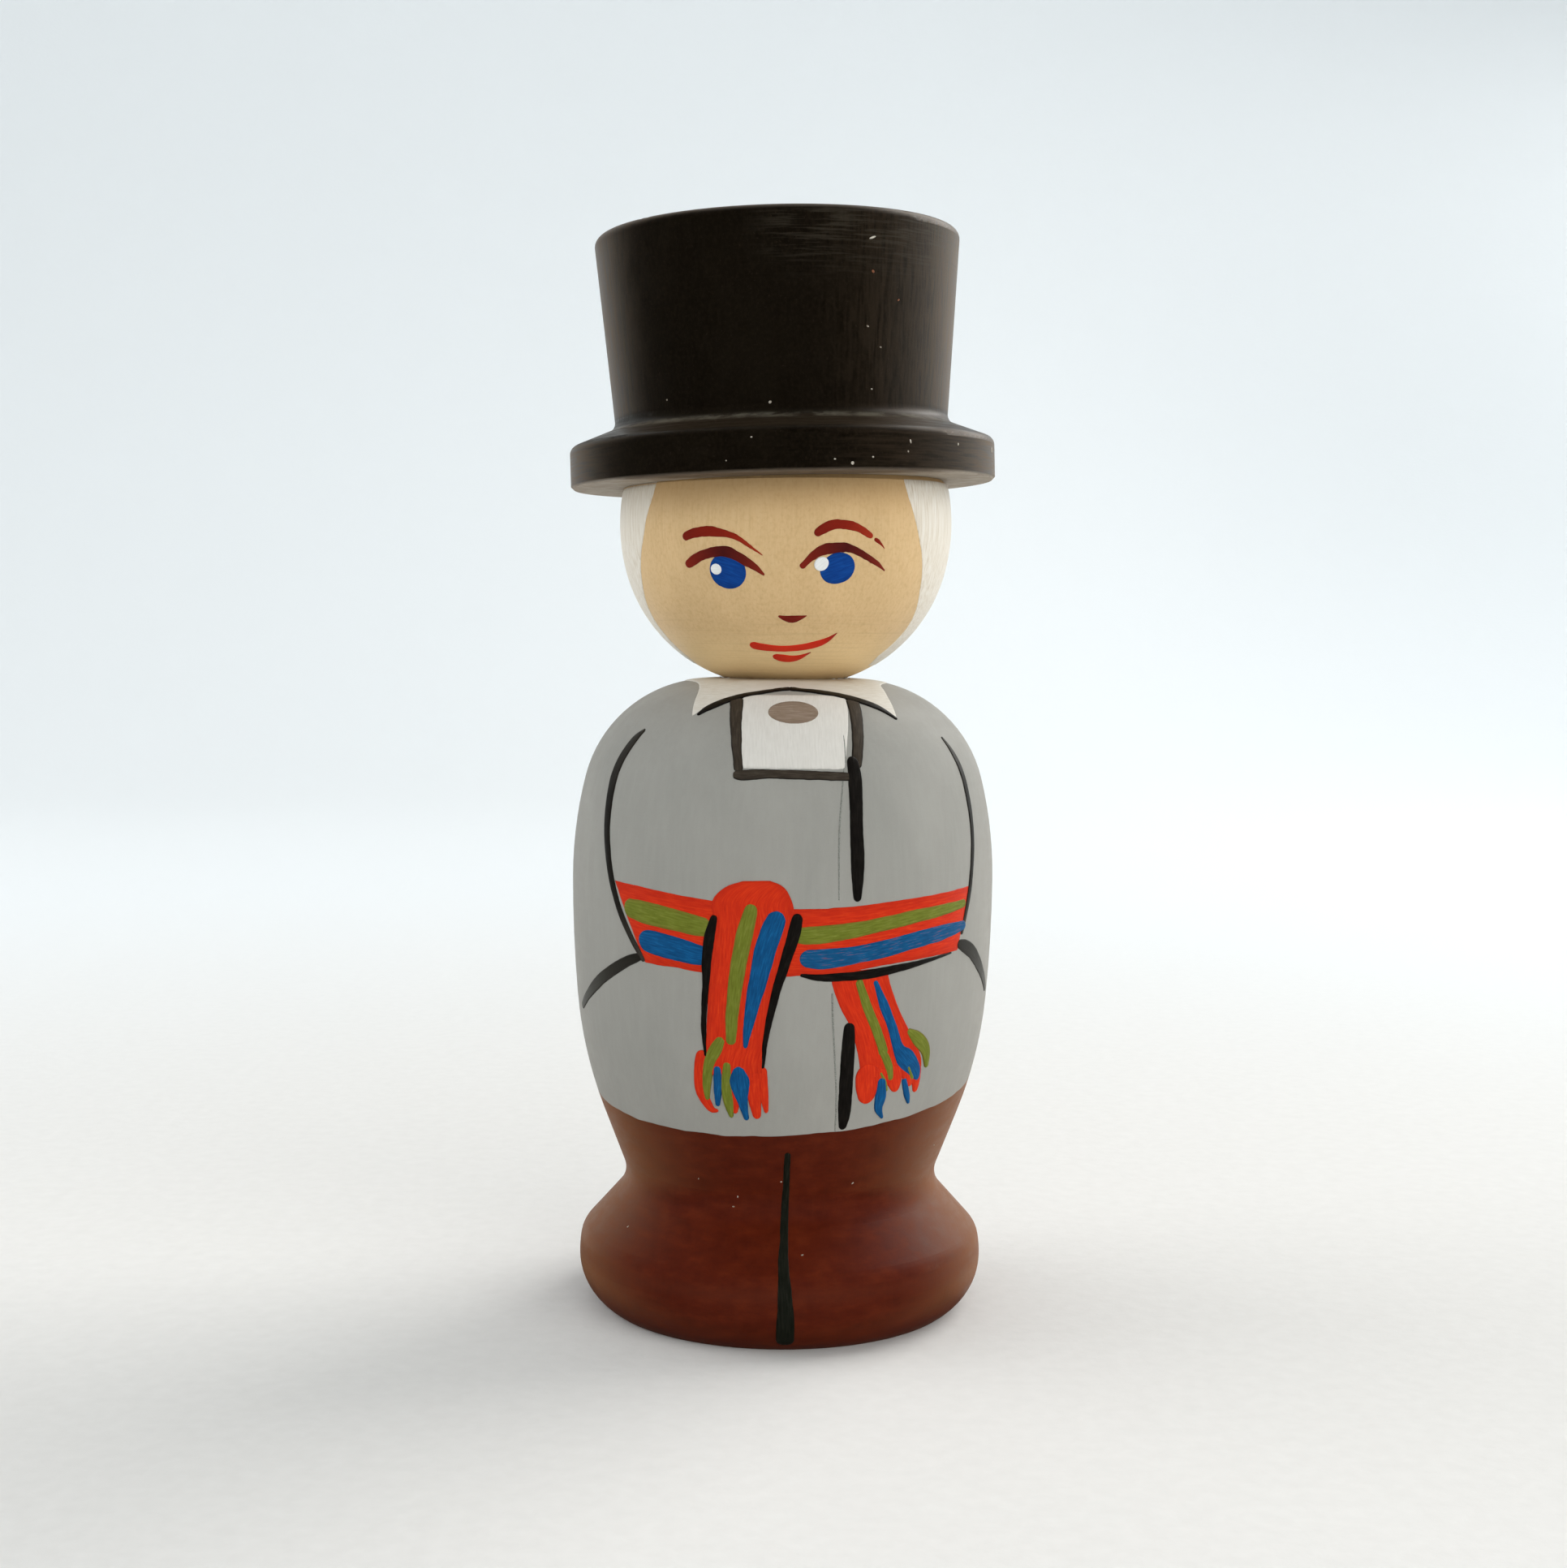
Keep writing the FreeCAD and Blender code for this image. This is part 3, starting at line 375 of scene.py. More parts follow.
class Recipe:
    """A finish being mixed: a material with one shader and the nodes that feed it."""

    def __init__(self, name, roughness, specular, **fixed):
        self.material = bpy.data.materials.new(name)
        self.material.use_nodes = True
        self.tree = self.material.node_tree
        self.tree.nodes.clear()
        out = self.tree.nodes.new("ShaderNodeOutputMaterial")
        self.shader = self.tree.nodes.new("ShaderNodeBsdfPrincipled")
        self.tree.links.new(self.shader.outputs["BSDF"], out.inputs["Surface"])
        self.shader.inputs["Roughness"].default_value = roughness
        self.shader.inputs["Specular IOR Level"].default_value = specular
        for key, value in fixed.items():
            if isinstance(value, tuple):
                value = (*value, 1.0)
            self.shader.inputs[key.replace("_", " ")].default_value = value

    def feed(self, socket, value):
        """Links a node's output to a socket, or sets the socket to a number, colour or vector."""
        if isinstance(value, bpy.types.NodeSocket):
            self.tree.links.new(value, socket)
        else:
            socket.default_value = value

    def add(self, kind, out, inputs=None, **settings):
        node = self.tree.nodes.new("ShaderNode" + kind)
        for key, value in settings.items():
            setattr(node, key, value)
        for key, value in (inputs or {}).items():
            self.feed(node.inputs[key], value)
        return node.outputs[out]

    def place(self, spot=(0, 0, 0), lean=(0, 0, 0)):
        """Object coordinates in mm, seen from spot and lean."""
        here = self.add("TexCoord", "Object")
        inputs = {"Vector": here, "Location": spot, "Rotation": lean, "Scale": (MM,) * 3}
        return self.add("Mapping", "Vector", inputs, vector_type="TEXTURE")

    def stretch(self, vector, scale, shift=(0, 0, 0)):
        return self.add("Mapping", "Vector", {"Vector": vector, "Scale": scale, "Location": shift})

    def uv(self, layer, scale=(1, 1, 1), shift=(0, 0, 0)):
        return self.stretch(self.add("UVMap", "UV", uv_map=layer), scale, shift)

    def grain(self, vector, fineness=1.0, shift=(0, 0, 0), detail=3.0, roughness=0.55, distortion=0.0):
        """Cloudy noise; fineness is one number, or one for each way of a stretched grain."""
        if isinstance(fineness, tuple):
            vector, fineness = self.stretch(vector, fineness, shift), 1.0
        inputs = {"Vector": vector, "Scale": fineness, "Detail": detail}
        inputs |= {"Roughness": roughness, "Distortion": distortion}
        return self.add("TexNoise", "Fac", inputs)

    def maths(self, how, a, b=0.0, c=None):
        node = self.tree.nodes.new("ShaderNodeMath")
        node.operation = how
        for k, value in enumerate((a, b) if c is None else (a, b, c)):
            self.feed(node.inputs[k], value)
        return node.outputs[0]

    def times(self, a, b):
        return self.maths("MULTIPLY", a, b)

    def scaled(self, value, by, plus):
        return self.maths("MULTIPLY_ADD", value, by, plus)

    def reach(self, x, y):
        """Distance from the upright axis."""
        return self.maths("SQRT", self.scaled(x, x, self.times(y, y)))

    def window(self, value, low, high, out_low=0.0, out_high=1.0):
        """Runs smoothly from out_low to out_high as value runs from low to high."""
        inputs = {"Value": value, "From Min": low, "From Max": high}
        inputs |= {"To Min": out_low, "To Max": out_high}
        return self.add("MapRange", "Result", inputs, interpolation_type="SMOOTHSTEP")

    def ramp(self, value, *stops):
        node = self.tree.nodes.new("ShaderNodeValToRGB")
        self.tree.links.new(value, node.inputs["Fac"])
        bar = node.color_ramp
        while len(bar.elements) < len(stops):
            bar.elements.new(0.5)
        for element, (at, colour) in zip(bar.elements, sorted(stops)):
            element.position = at
            element.color = (*colour, 1.0)
        return node.outputs["Color"]

    def blend(self, share, a, b):
        node = self.tree.nodes.new("ShaderNodeMix")
        node.data_type = "RGBA"
        self.feed(node.inputs[0], share)
        for socket, value in ((node.inputs[6], a), (node.inputs[7], b)):
            self.feed(socket, (*value, 1.0) if isinstance(value, tuple) else value)
        return node.outputs[2]

    def veil(self, colour, value, low, high, most, over):
        """Lays the colour over on colour, growing to the share most as value runs from low to high."""
        return self.blend(self.window(value, low, high, 0.0, most), colour, over)

    def painted_sheen(self, low, high, most):
        """Painted sheen: grows towards the sides of a round piece, where it turns away from the view."""
        return self.window(self.add("LayerWeight", "Facing", {"Blend": 0.5}), low, high, 0.0, most)

    def parts(self, vector):
        node = self.tree.nodes.new("ShaderNodeSeparateXYZ")
        self.tree.links.new(vector, node.inputs[0])
        return node.outputs

    def finish(self, colour, roughness=None, relief=None, depth=0.02):
        """Feeds the shader: colour, roughness, and a relief whose full height is depth mm."""
        self.tree.links.new(colour, self.shader.inputs["Base Color"])
        if roughness is not None:
            self.tree.links.new(roughness, self.shader.inputs["Roughness"])
        if relief is not None:
            inputs = {"Height": relief, "Distance": depth * MM, "Strength": 1.0}
            self.tree.links.new(self.add("Bump", "Normal", inputs), self.shader.inputs["Normal"])
        return self.material


def raw_wood(mix, mm):
    """Colour of plain turned wood, with fine upright fibres, and its relief."""
    fibre = mix.grain(mm, (5.0, 5.0, 0.22), detail=4, roughness=0.6)
    pores = mix.grain(mm, (9.0, 9.0, 1.2), (3, 1, 7), detail=2)
    figure = mix.grain(mm, (0.16, 0.16, 0.05), (1, 5, 2), detail=2, distortion=0.4)
    colour = mix.ramp(fibre, (0.28, (0.605, 0.4, 0.19)), (0.5, (0.67, 0.452, 0.226)),
                      (0.74, (0.7, 0.495, 0.262)))
    colour = mix.veil(colour, figure, 0.35, 0.7, 0.45, (0.53, 0.35, 0.165))
    colour = mix.veil(colour, pores, 0.6, 0.78, 0.22, (0.5, 0.32, 0.15))
    mottle = mix.grain(mm, (2.6, 2.6, 2.2), (4, 4, 4), detail=3, roughness=0.65)
    colour = mix.veil(colour, mottle, 0.36, 0.66, 0.3, (0.7, 0.505, 0.27))
    colour = mix.veil(colour, mottle, 0.5, 0.28, 0.3, (0.5, 0.325, 0.145))
    return colour, fibre


def face_wood():
    """Clear-varnished bare wood of the head."""
    mix = Recipe("varnished_wood", 0.48, 0.22)
    mm = mix.place()
    colour, fibre = raw_wood(mix, mm)
    level = mix.parts(mm)[2]
    tooling = mix.grain(mm, (0.12, 0.12, 5.5), detail=3)
    low = mix.window(level, 78.0, 70.5)
    rings = mix.times(mix.window(tooling, 0.5, 0.66), mix.times(low, 0.3))
    colour = mix.blend(rings, colour, (0.4, 0.25, 0.115))
    # painted shade: the wood is darker on the forehead under the hat's brim
    brow = mix.window(level, 84.0, 88.2, 0.0, 0.45)
    colour = mix.blend(brow, colour, (0.5, 0.3, 0.125))
    # and painted light makes it paler under the chin, where the shoulders shade it
    colour = mix.veil(colour, level, 74.5, 69.5, 0.6, (0.93, 0.69, 0.36))
    shine = mix.window(fibre, 0.3, 0.7, 0.38, 0.5)
    relief = mix.scaled(fibre, 0.6, mix.times(tooling, 0.4))
    return mix.finish(colour, shine, relief, 0.01)


COAT_GREY = (0.32, 0.311, 0.284)
TROUSER_BROWN = (0.088, 0.009, 0.001)
HEM_FRONT = 22.25  # height of the coat's hem at the front, mm
HEM_REACH = 19.5  # radius of the coat there, mm
HEM_CLIMB = 0.12  # rise of the hem for each mm back from the front
HEM_LEAN = 0.045  # rise for each mm towards the figurine's left hand
FOOT_RING = 6.3  # height of the foot's widest painted ring, mm


def coat_and_trousers():
    """The body's paint: grey coat down to the hem, red-brown trousers and foot, bare wood underneath."""
    sheen = {"Sheen_Weight": 0.06, "Sheen_Roughness": 0.4, "Sheen_Tint": (1.0, 0.7, 0.5)}
    mix = Recipe("coat_and_trousers", 0.5, 0.13, **sheen)
    mm = mix.place()
    x, y, z = mix.parts(mm)
    cloud = mix.grain(mm, (0.14, 0.14, 0.08), detail=3, distortion=0.3)
    brushed = mix.grain(mm, (1.6, 1.6, 0.14), (4, 9, 1), detail=4, roughness=0.6)
    tooth = mix.grain(mm, 7.0, detail=2, roughness=0.7)
    coat = mix.ramp(cloud, (0.3, (0.3, 0.294, 0.268)), (0.55, COAT_GREY), (0.75, (0.344, 0.335, 0.306)))
    coat = mix.veil(coat, brushed, 0.35, 0.72, 0.22, (0.365, 0.36, 0.33))
    coat = mix.veil(coat, tooth, 0.55, 0.8, 0.22, (0.22, 0.22, 0.196))

    sweep = mix.grain(mm, (0.35, 0.35, 0.9), (7, 2, 5), detail=5, roughness=0.62)
    trousers = mix.ramp(sweep, (0.28, (0.066, 0.006, 0.0007)), (0.52, TROUSER_BROWN),
                        (0.78, (0.122, 0.0165, 0.0025)))
    trousers = mix.veil(trousers, brushed, 0.4, 0.75, 0.3, (0.1, 0.0145, 0.003))
    trousers = mix.veil(trousers, tooth, 0.56, 0.8, 0.5, (0.028, 0.005, 0.002))
    # painted sheen: a warm tan towards the sides of the trousers, fading out low on the foot
    thin = mix.times(mix.painted_sheen(0.18, 0.9, 0.58), mix.window(z, 1.0, 5.0))
    trousers = mix.blend(thin, trousers, (0.31, 0.14, 0.056))
    # thinner paint rides on the widest ring of the foot
    from_ring = mix.maths("ABSOLUTE", mix.maths("SUBTRACT", z, FOOT_RING))
    ring = mix.maths("SUBTRACT", 1.0, mix.window(from_ring, 0.0, 1.3))
    trousers = mix.blend(mix.times(ring, 0.22), trousers, (0.12, 0.026, 0.01))

    waver = mix.grain(mm, (0.22, 0.22, 0.0), detail=2)
    behind = mix.maths("SMOOTH_MIN", y, 1.0, 8.0)  # level again across the back
    hem = mix.scaled(behind, HEM_CLIMB, HEM_FRONT + HEM_CLIMB * HEM_REACH)
    hem = mix.scaled(x, HEM_LEAN, hem)
    hem = mix.maths("ADD", hem, mix.scaled(waver, 0.6, -0.15))
    above = mix.window(mix.maths("SUBTRACT", z, hem), -0.03, 0.04)
    colour = mix.blend(above, trousers, coat)

    radius = mix.reach(x, y)
    wood, fibre = raw_wood(mix, mm)
    spill = mix.grain(mm, (0.5, 0.5, 0.5), (8, 8, 8), detail=3)
    under = mix.times(mix.window(radius, 19.3, 18.9), mix.window(z, 2.6, 2.4))
    under = mix.times(under, mix.window(mix.scaled(spill, 1.6, radius), 19.55, 19.45))
    neck = mix.times(mix.window(radius, 6.56, 6.5), mix.window(z, 59.0, 60.0))
    bare = mix.maths("MAXIMUM", under, neck)
    colour = mix.blend(bare, colour, wood)

    trouser_shine = mix.window(sweep, 0.3, 0.7, 0.46, 0.58)
    shine = mix.scaled(above, 0.08, trouser_shine)
    shine = mix.scaled(bare, 0.2, shine)
    tooling = mix.grain(mm, (0.05, 0.05, 2.2), (2, 2, 2), detail=2)
    relief = mix.scaled(brushed, 0.45, mix.times(tooling, 0.5))
    relief = mix.scaled(tooth, 0.25, relief)
    relief = mix.scaled(above, 0.9, relief)
    return mix.finish(colour, shine, relief, 0.022)


def hat_black():
    """Thin black satin paint, brushed up and down the crown and round the brim."""
    sheen = {"Sheen_Weight": 0.05, "Sheen_Roughness": 0.4, "Sheen_Tint": (1.0, 0.7, 0.44)}
    mix = Recipe("hat_black", 0.4, 0.2, Specular_Tint=(1.0, 0.8, 0.6), **sheen)
    mm = mix.place(spot=HAT_CENTRE, lean=(0, -HAT_LEAN, 0))
    x, y, z = mix.parts(mm)
    radius = mix.reach(x, y)
    upright = mix.grain(mm, (3.2, 3.2, 0.16), detail=5, roughness=0.65)
    round_it = mix.grain(mm, (0.22, 0.22, 4.2), (5, 3, 1), detail=4, roughness=0.6)
    patchy = mix.grain(mm, (0.1, 0.1, 0.06), (9, 4, 6), detail=3, distortion=0.5)
    grit = mix.grain(mm, 5.0, detail=2)
    crown = mix.window(z, 6.0, 7.2)
    streak = mix.blend(crown, round_it, upright)
    colour = mix.ramp(streak, (0.3, (0.0022, 0.0013, 0.0005)), (0.6, (0.0045, 0.003, 0.0014)),
                      (0.8, (0.013, 0.009, 0.005)))
    colour = mix.veil(colour, patchy, 0.45, 0.75, 0.6, (0.008, 0.0055, 0.003))
    nap = mix.grain(mm, (3.4, 3.4, 2.6), (7, 7, 7), detail=4, roughness=0.7)
    colour = mix.veil(colour, nap, 0.42, 0.66, 0.55, (0.014, 0.0095, 0.005))
    # painted sheen: a browner, streaky half towards the figurine's left hand, the side the window light
    # comes from
    window_side_sheen = mix.times(mix.window(x, 1.0, 15.0), mix.window(streak, 0.36, 0.62, 0.1, 0.8))
    colour = mix.blend(window_side_sheen, colour, (0.026, 0.0165, 0.009))
    # painted sheen: brownish grey towards the sides of the crown and of the brim's edge, streaked along
    # the brush
    sides = mix.maths("MAXIMUM", mix.window(z, 6.9, 7.6), mix.window(z, 4.4, 4.0))
    sides = mix.times(sides, mix.window(streak, 0.34, 0.64, 0.2, 1.0))
    colour = mix.blend(mix.times(mix.painted_sheen(0.3, 0.95, 0.85), sides), colour, (0.135, 0.088, 0.05))
    swipe = mix.times(mix.window(z, 18.0, 24.0), mix.window(x, -4.0, 2.0))
    swipe = mix.times(swipe, mix.window(round_it, 0.46, 0.62))
    colour = mix.blend(mix.times(swipe, 0.55), colour, (0.04, 0.034, 0.024))
    colour = mix.veil(colour, grit, 0.64, 0.76, 0.35, (0.05, 0.036, 0.024))
    # along the brim's step and its rim: a painted highlight where the step catches the light, broken up
    # like scuffed wear; the top edge of the crown is worn thin
    step = mix.times(mix.window(z, 4.4, 5.2), mix.window(z, 7.4, 6.6))
    on_step = mix.times(mix.window(radius, 18.2, 18.6), mix.window(radius, 19.9, 19.2))
    step = mix.times(step, on_step)
    scuff = mix.grain(mm, (0.45, 0.45, 1.5), (2, 8, 3), detail=6, roughness=0.75)
    step_highlight_and_wear = mix.times(step, mix.window(scuff, 0.38, 0.6))
    colour = mix.blend(mix.times(step_highlight_and_wear, 0.75), colour, (0.125, 0.115, 0.088))
    top = mix.times(mix.window(z, 25.9, 26.4), mix.window(radius, 18.9, 19.3))
    colour = mix.blend(mix.times(top, 0.35), colour, (0.075, 0.058, 0.042))
    # the underside took only a thin wash over the wood
    wash = mix.grain(mm, (0.5, 0.5, 6.0), (1, 1, 3), detail=5, roughness=0.65)
    below = mix.ramp(wash, (0.25, (0.2, 0.165, 0.125)), (0.55, (0.34, 0.295, 0.24)),
                     (0.8, (0.43, 0.385, 0.33)))
    # darker towards the front: partly the wash's own colour, partly painted shade under the brim
    below = mix.veil(below, y, -13.5, -18.0, 0.8, (0.055, 0.034, 0.02))
    edge = mix.window(mix.scaled(wash, 0.5, z), 0.62, 0.5)
    under = mix.times(edge, mix.window(radius, 22.95, 22.6))
    colour = mix.blend(under, colour, below)
    shine = mix.window(streak, 0.3, 0.75, 0.34, 0.52)
    shine = mix.scaled(under, 0.25, shine)
    relief = mix.scaled(grit, 0.3, mix.times(streak, 0.7))
    return mix.finish(colour, shine, relief, 0.016)


def dowel_wood():
    mix = Recipe("dowel_wood", 0.6, 0.4)
    mm = mix.place()
    colour, fibre = raw_wood(mix, mm)
    return mix.finish(colour, mix.window(fibre, 0.3, 0.7, 0.5, 0.65), fibre, 0.02)


def brushed_paint(
    name, deep, main, bright, roughness=0.42, edge=None, thin=None, ends=None, inner=None, relief=0.02
):
    """A stroke of paint, streaked along the brush's way.

    edge is how strongly paint pooled at the rims, and its colour; inner is
    how strong a painted shade and painted reflection is, and its colour, on
    the side of a patch that its rungs start from; thin is how many spots are
    thin, and what shows there; ends are colours along it.
    """
    mix = Recipe(name, roughness, 0.12)
    along = mix.uv("brush", (0.9, 9, 1))
    streaks = mix.grain(along, 6.0, detail=4, roughness=0.6)
    blotch = mix.grain(mix.uv("brush", (1, 1, 1), (3, 1, 0)), 7.0, detail=2)
    colour = mix.ramp(streaks, (0.3, deep), (0.52, main), (0.75, bright))
    colour = mix.veil(colour, blotch, 0.4, 0.7, 0.35, deep)
    u, v, _ = mix.parts(mix.uv("share"))
    rim = mix.maths("ABSOLUTE", mix.scaled(v, 2.0, -1.0))
    if ends:
        colour = mix.blend(0.8, colour, mix.ramp(u, *ends))
    if edge:
        colour = mix.veil(colour, rim, 0.62, 0.95, *edge)
    if inner:
        colour = mix.veil(colour, v, 0.5, 0.0, *inner)
    if thin:
        amount, below = thin
        sparse = mix.window(streaks, 0.62 - amount * 0.3, 0.72, 0.0, 0.8)
        colour = mix.blend(sparse, colour, below)
    shine = mix.window(streaks, 0.3, 0.7, roughness - 0.06, roughness + 0.08)
    return mix.finish(colour, shine, streaks, relief)


def white_over_wood():
    """Thin white paint on the back and sides of the head: the upright fibres show through."""
    mix = Recipe("hair_white", 0.5, 0.25)
    mm = mix.place()
    fibre = mix.grain(mm, (4.2, 4.2, 0.16), detail=5, roughness=0.62)
    cloud = mix.grain(mm, (0.25, 0.25, 0.12), (6, 2, 8), detail=2)
    colour = mix.ramp(fibre, (0.28, (0.58, 0.49, 0.37)), (0.5, (0.74, 0.675, 0.575)),
                      (0.72, (0.81, 0.765, 0.695)))
    colour = mix.veil(colour, cloud, 0.45, 0.75, 0.3, (0.7, 0.63, 0.52))
    shine = mix.window(fibre, 0.3, 0.7, 0.44, 0.56)
    return mix.finish(colour, shine, fibre, 0.018)


def drawn_pencil():
    mix = Recipe("pencil", 0.6, 0.5)
    tooth = mix.grain(mix.place(), 9.0, detail=2)
    colour = mix.ramp(tooth, (0.4, (0.15, 0.15, 0.13)), (0.56, (0.27, 0.275, 0.25)))
    return mix.finish(colour, None, tooth, 0.01)


def grit_finish(name, pale, deep):
    mix = Recipe(name, 0.6, 0.4)
    shade = mix.grain(mix.place(), 2.0, detail=1)
    return mix.finish(mix.ramp(shade, (0.35, deep), (0.65, pale)), None, shade, 0.01)


WHITE = brushed_paint(
    "white_paint", (0.645, 0.615, 0.565), (0.7, 0.67, 0.62), (0.74, 0.715, 0.67), 0.5, relief=0.014
)
# the brownish tone at the collar's inner edge, by the neck, is painted shade and a painted reflection of
# the wood
COLLAR = brushed_paint(
    "collar_white", (0.6, 0.555, 0.475), (0.68, 0.645, 0.58), (0.74, 0.715, 0.66), 0.5, relief=0.014,
    inner=(0.75, (0.36, 0.25, 0.14))
)
HAIR = white_over_wood()
GLINT = brushed_paint("eye_glint", (0.7, 0.7, 0.68), (0.8, 0.8, 0.79), (0.85, 0.85, 0.84), 0.4)
RED = brushed_paint(
    "sash_red", (0.5, 0.018, 0.003), (0.62, 0.027, 0.004), (0.72, 0.055, 0.007), 0.45,
    edge=(0.35, (0.42, 0.014, 0.003))
)
GREEN = brushed_paint(
    "sash_green", (0.115, 0.13, 0.012), (0.158, 0.188, 0.02), (0.23, 0.245, 0.045), 0.45,
    edge=(0.4, (0.2, 0.1, 0.02))
)
BLUE = brushed_paint(
    "sash_blue", (0.001, 0.048, 0.15), (0.0015, 0.08, 0.23), (0.006, 0.135, 0.335), 0.45,
    edge=(0.35, (0.004, 0.035, 0.13))
)
BLUE_THIN = brushed_paint(
    "sash_blue_thin", (0.004, 0.052, 0.15), (0.003, 0.086, 0.22), (0.02, 0.135, 0.3), 0.45,
    thin=(0.25, (0.19, 0.05, 0.07))
)
IRIS = brushed_paint(
    "iris_blue", (0.001, 0.034, 0.19), (0.0015, 0.048, 0.25), (0.004, 0.075, 0.32),
    edge=(0.3, (0.002, 0.025, 0.14))
)
BLACK = brushed_paint(
    "line_black", (0.0045, 0.0035, 0.0028), (0.0085, 0.0068, 0.0055), (0.02, 0.016, 0.012), 0.42
)
FADED = brushed_paint(
    "line_thinned", (0.028, 0.021, 0.015), (0.048, 0.037, 0.027), (0.085, 0.068, 0.05), 0.46,
    edge=(0.85, (0.01, 0.008, 0.006))
)
SLEEVE = brushed_paint(
    "line_sleeve", (0.015, 0.012, 0.009), (0.028, 0.022, 0.016), (0.05, 0.042, 0.03), 0.44,
    ends=[(0.0, (0.03, 0.024, 0.018)), (0.3, (0.01, 0.008, 0.006)), (0.75, (0.012, 0.01, 0.008)),
          (1.0, (0.05, 0.042, 0.034))]
)
CUFF = brushed_paint(
    "line_cuff", (0.03, 0.027, 0.021), (0.045, 0.041, 0.033), (0.08, 0.074, 0.062), 0.46,
    edge=(0.6, (0.035, 0.032, 0.027)),
    ends=[(0.0, (0.012, 0.01, 0.007)), (0.4, (0.032, 0.029, 0.023)), (1.0, (0.1, 0.096, 0.082))]
)
BROOCH = brushed_paint(
    "brooch_brown", (0.21, 0.15, 0.105), (0.27, 0.2, 0.15), (0.35, 0.28, 0.225), 0.5,
    edge=(0.5, (0.2, 0.14, 0.1))
)
BROW = brushed_paint(
    "brow_red_brown", (0.14, 0.009, 0.003), (0.22, 0.013, 0.004), (0.32, 0.025, 0.008),
    ends=[(0.0, (0.17, 0.009, 0.003)), (0.5, (0.23, 0.011, 0.003)), (1.0, (0.36, 0.03, 0.009))]
)
LID = brushed_paint(
    "lid_maroon", (0.06, 0.006, 0.004), (0.1, 0.009, 0.005), (0.17, 0.016, 0.007),
    ends=[(0.0, (0.24, 0.016, 0.006)), (0.3, (0.13, 0.009, 0.005)), (0.5, (0.065, 0.006, 0.006)),
          (0.72, (0.12, 0.009, 0.005)), (1.0, (0.24, 0.02, 0.008))]
)
LIPS = brushed_paint(
    "lip_red", (0.45, 0.018, 0.008), (0.6, 0.028, 0.01), (0.7, 0.05, 0.018), 0.4,
    ends=[(0.0, (0.5, 0.02, 0.008)), (0.4, (0.66, 0.035, 0.012)), (0.8, (0.55, 0.022, 0.009)),
          (1.0, (0.16, 0.012, 0.008))]
)
NOSE = brushed_paint(
    "nose_brown", (0.12, 0.008, 0.004), (0.17, 0.012, 0.006), (0.24, 0.02, 0.009), 0.42
)
TROUSER_LINE = brushed_paint(
    "trouser_line", (0.006, 0.007, 0.004), (0.01, 0.011, 0.007), (0.022, 0.022, 0.015), 0.36
)
PENCIL = drawn_pencil()
PALE_GRIT = grit_finish("pale_grit", (0.55, 0.5, 0.42), (0.3, 0.25, 0.19))
ORANGE_GRIT = grit_finish("orange_grit", (0.35, 0.13, 0.05), (0.18, 0.06, 0.025))

for node, finish in (
    ("body", coat_and_trousers()),
    ("head", face_wood()),
    ("hat", hat_black()),
    ("neck_dowel", dowel_wood()),
    ("hat_dowel", dowel_wood()),
):
    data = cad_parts[node].data
    data.materials.clear()
    data.materials.append(finish)

# ---- The head: white hair, then the face ----


HAIR_TOP = -1.0  # tape reading on the head where the hair starts, before it is fitted to the hat
HAT_EDGE, HAT_TILT = -1.05, 0.62  # where the hat covers the head, and how far that tilts


def up_to_hat(turn, down):
    """Slides the top of the hair along until it meets the tilted hat all the way round."""
    meets = HAT_EDGE - HAT_TILT * math.sin(math.radians(turn))
    ease = max(0.0, 1 - (down - HAIR_TOP) / 4.0)
    return down + (meets - HAIR_TOP) * min(ease, 1.0)


hair = Film("hair", HEAD, HAIR, "white_paint", 0.05, 0.1)
# tape reading, then turn at each side of the face
hair_edges = [
    (-1, -49.5, -316.5), (0.6, -50.5, -315.5), (2.4, -52.8, -313), (5.2, -56.5, -308.8),
    (7.8, -60.7, -305), (10.4, -64.6, -301.5), (12.8, -68.5, -297.5), (15.1, -70.5, -295.5),
    (17.2, -71, -296), (19.4, -72, -298), (21.4, -76, -292)
]
hair.patch([(left, down, right, down) for down, left, right in hair_edges], step=0.55, bend=up_to_hat)

eyes = Film("irises", HEAD, IRIS, "blue_paint", 0.05)
eyes.dab(-20, 8.8, 3.95, 3.75, lean=-20, raggedness=0.07)
eyes.dab(17.9, 8.4, 3.75, 3.3, lean=18, raggedness=0.07)

Film("eyelids", HEAD, LID, "brow_paint", 0.08, 0.13).strokes(
    [(-36, 8.15, 0.95), (-30.5, 7.3, 0.95), (-25, 6.85, 1.05), (-20, 6.8, 1.15), (-15.9, 7.25, 1),
     (-11, 8.25, 0.8), (-7.2, 9.2, 0.2)],
    [(5.2, 8.4, 0.6), (8.7, 7.25, 0.9), (12.7, 6.5, 1), (18.2, 6.25, 1.05), (22.6, 6.4, 0.8),
     (27.3, 7, 0.6), (32.1, 7.7, 0.5), (36.2, 8.55, 0.15)],
)

brows = Film("eyebrows", HEAD, BROW, "brow_paint", 0.06, 0.13)
brows.strokes(
    [(-36.2, 5.25, 0.85), (-31, 4.85, 1.05), (-25.5, 4.65, 1), (-19.5, 5, 0.75), (-14, 5.75, 0.5),
     (-7.6, 7.15, 0.12)],
    [(9.4, 5, 0.8), (13.2, 4.25, 0.95), (18, 3.95, 1), (23.4, 4.2, 0.9), (29.8, 5.1, 0.55)],
)
brows.stroke([(30.5, 5.25, 0.45), (32.5, 5.6, 0.42), (34.9, 6.25, 0.1)], lift=0.04)

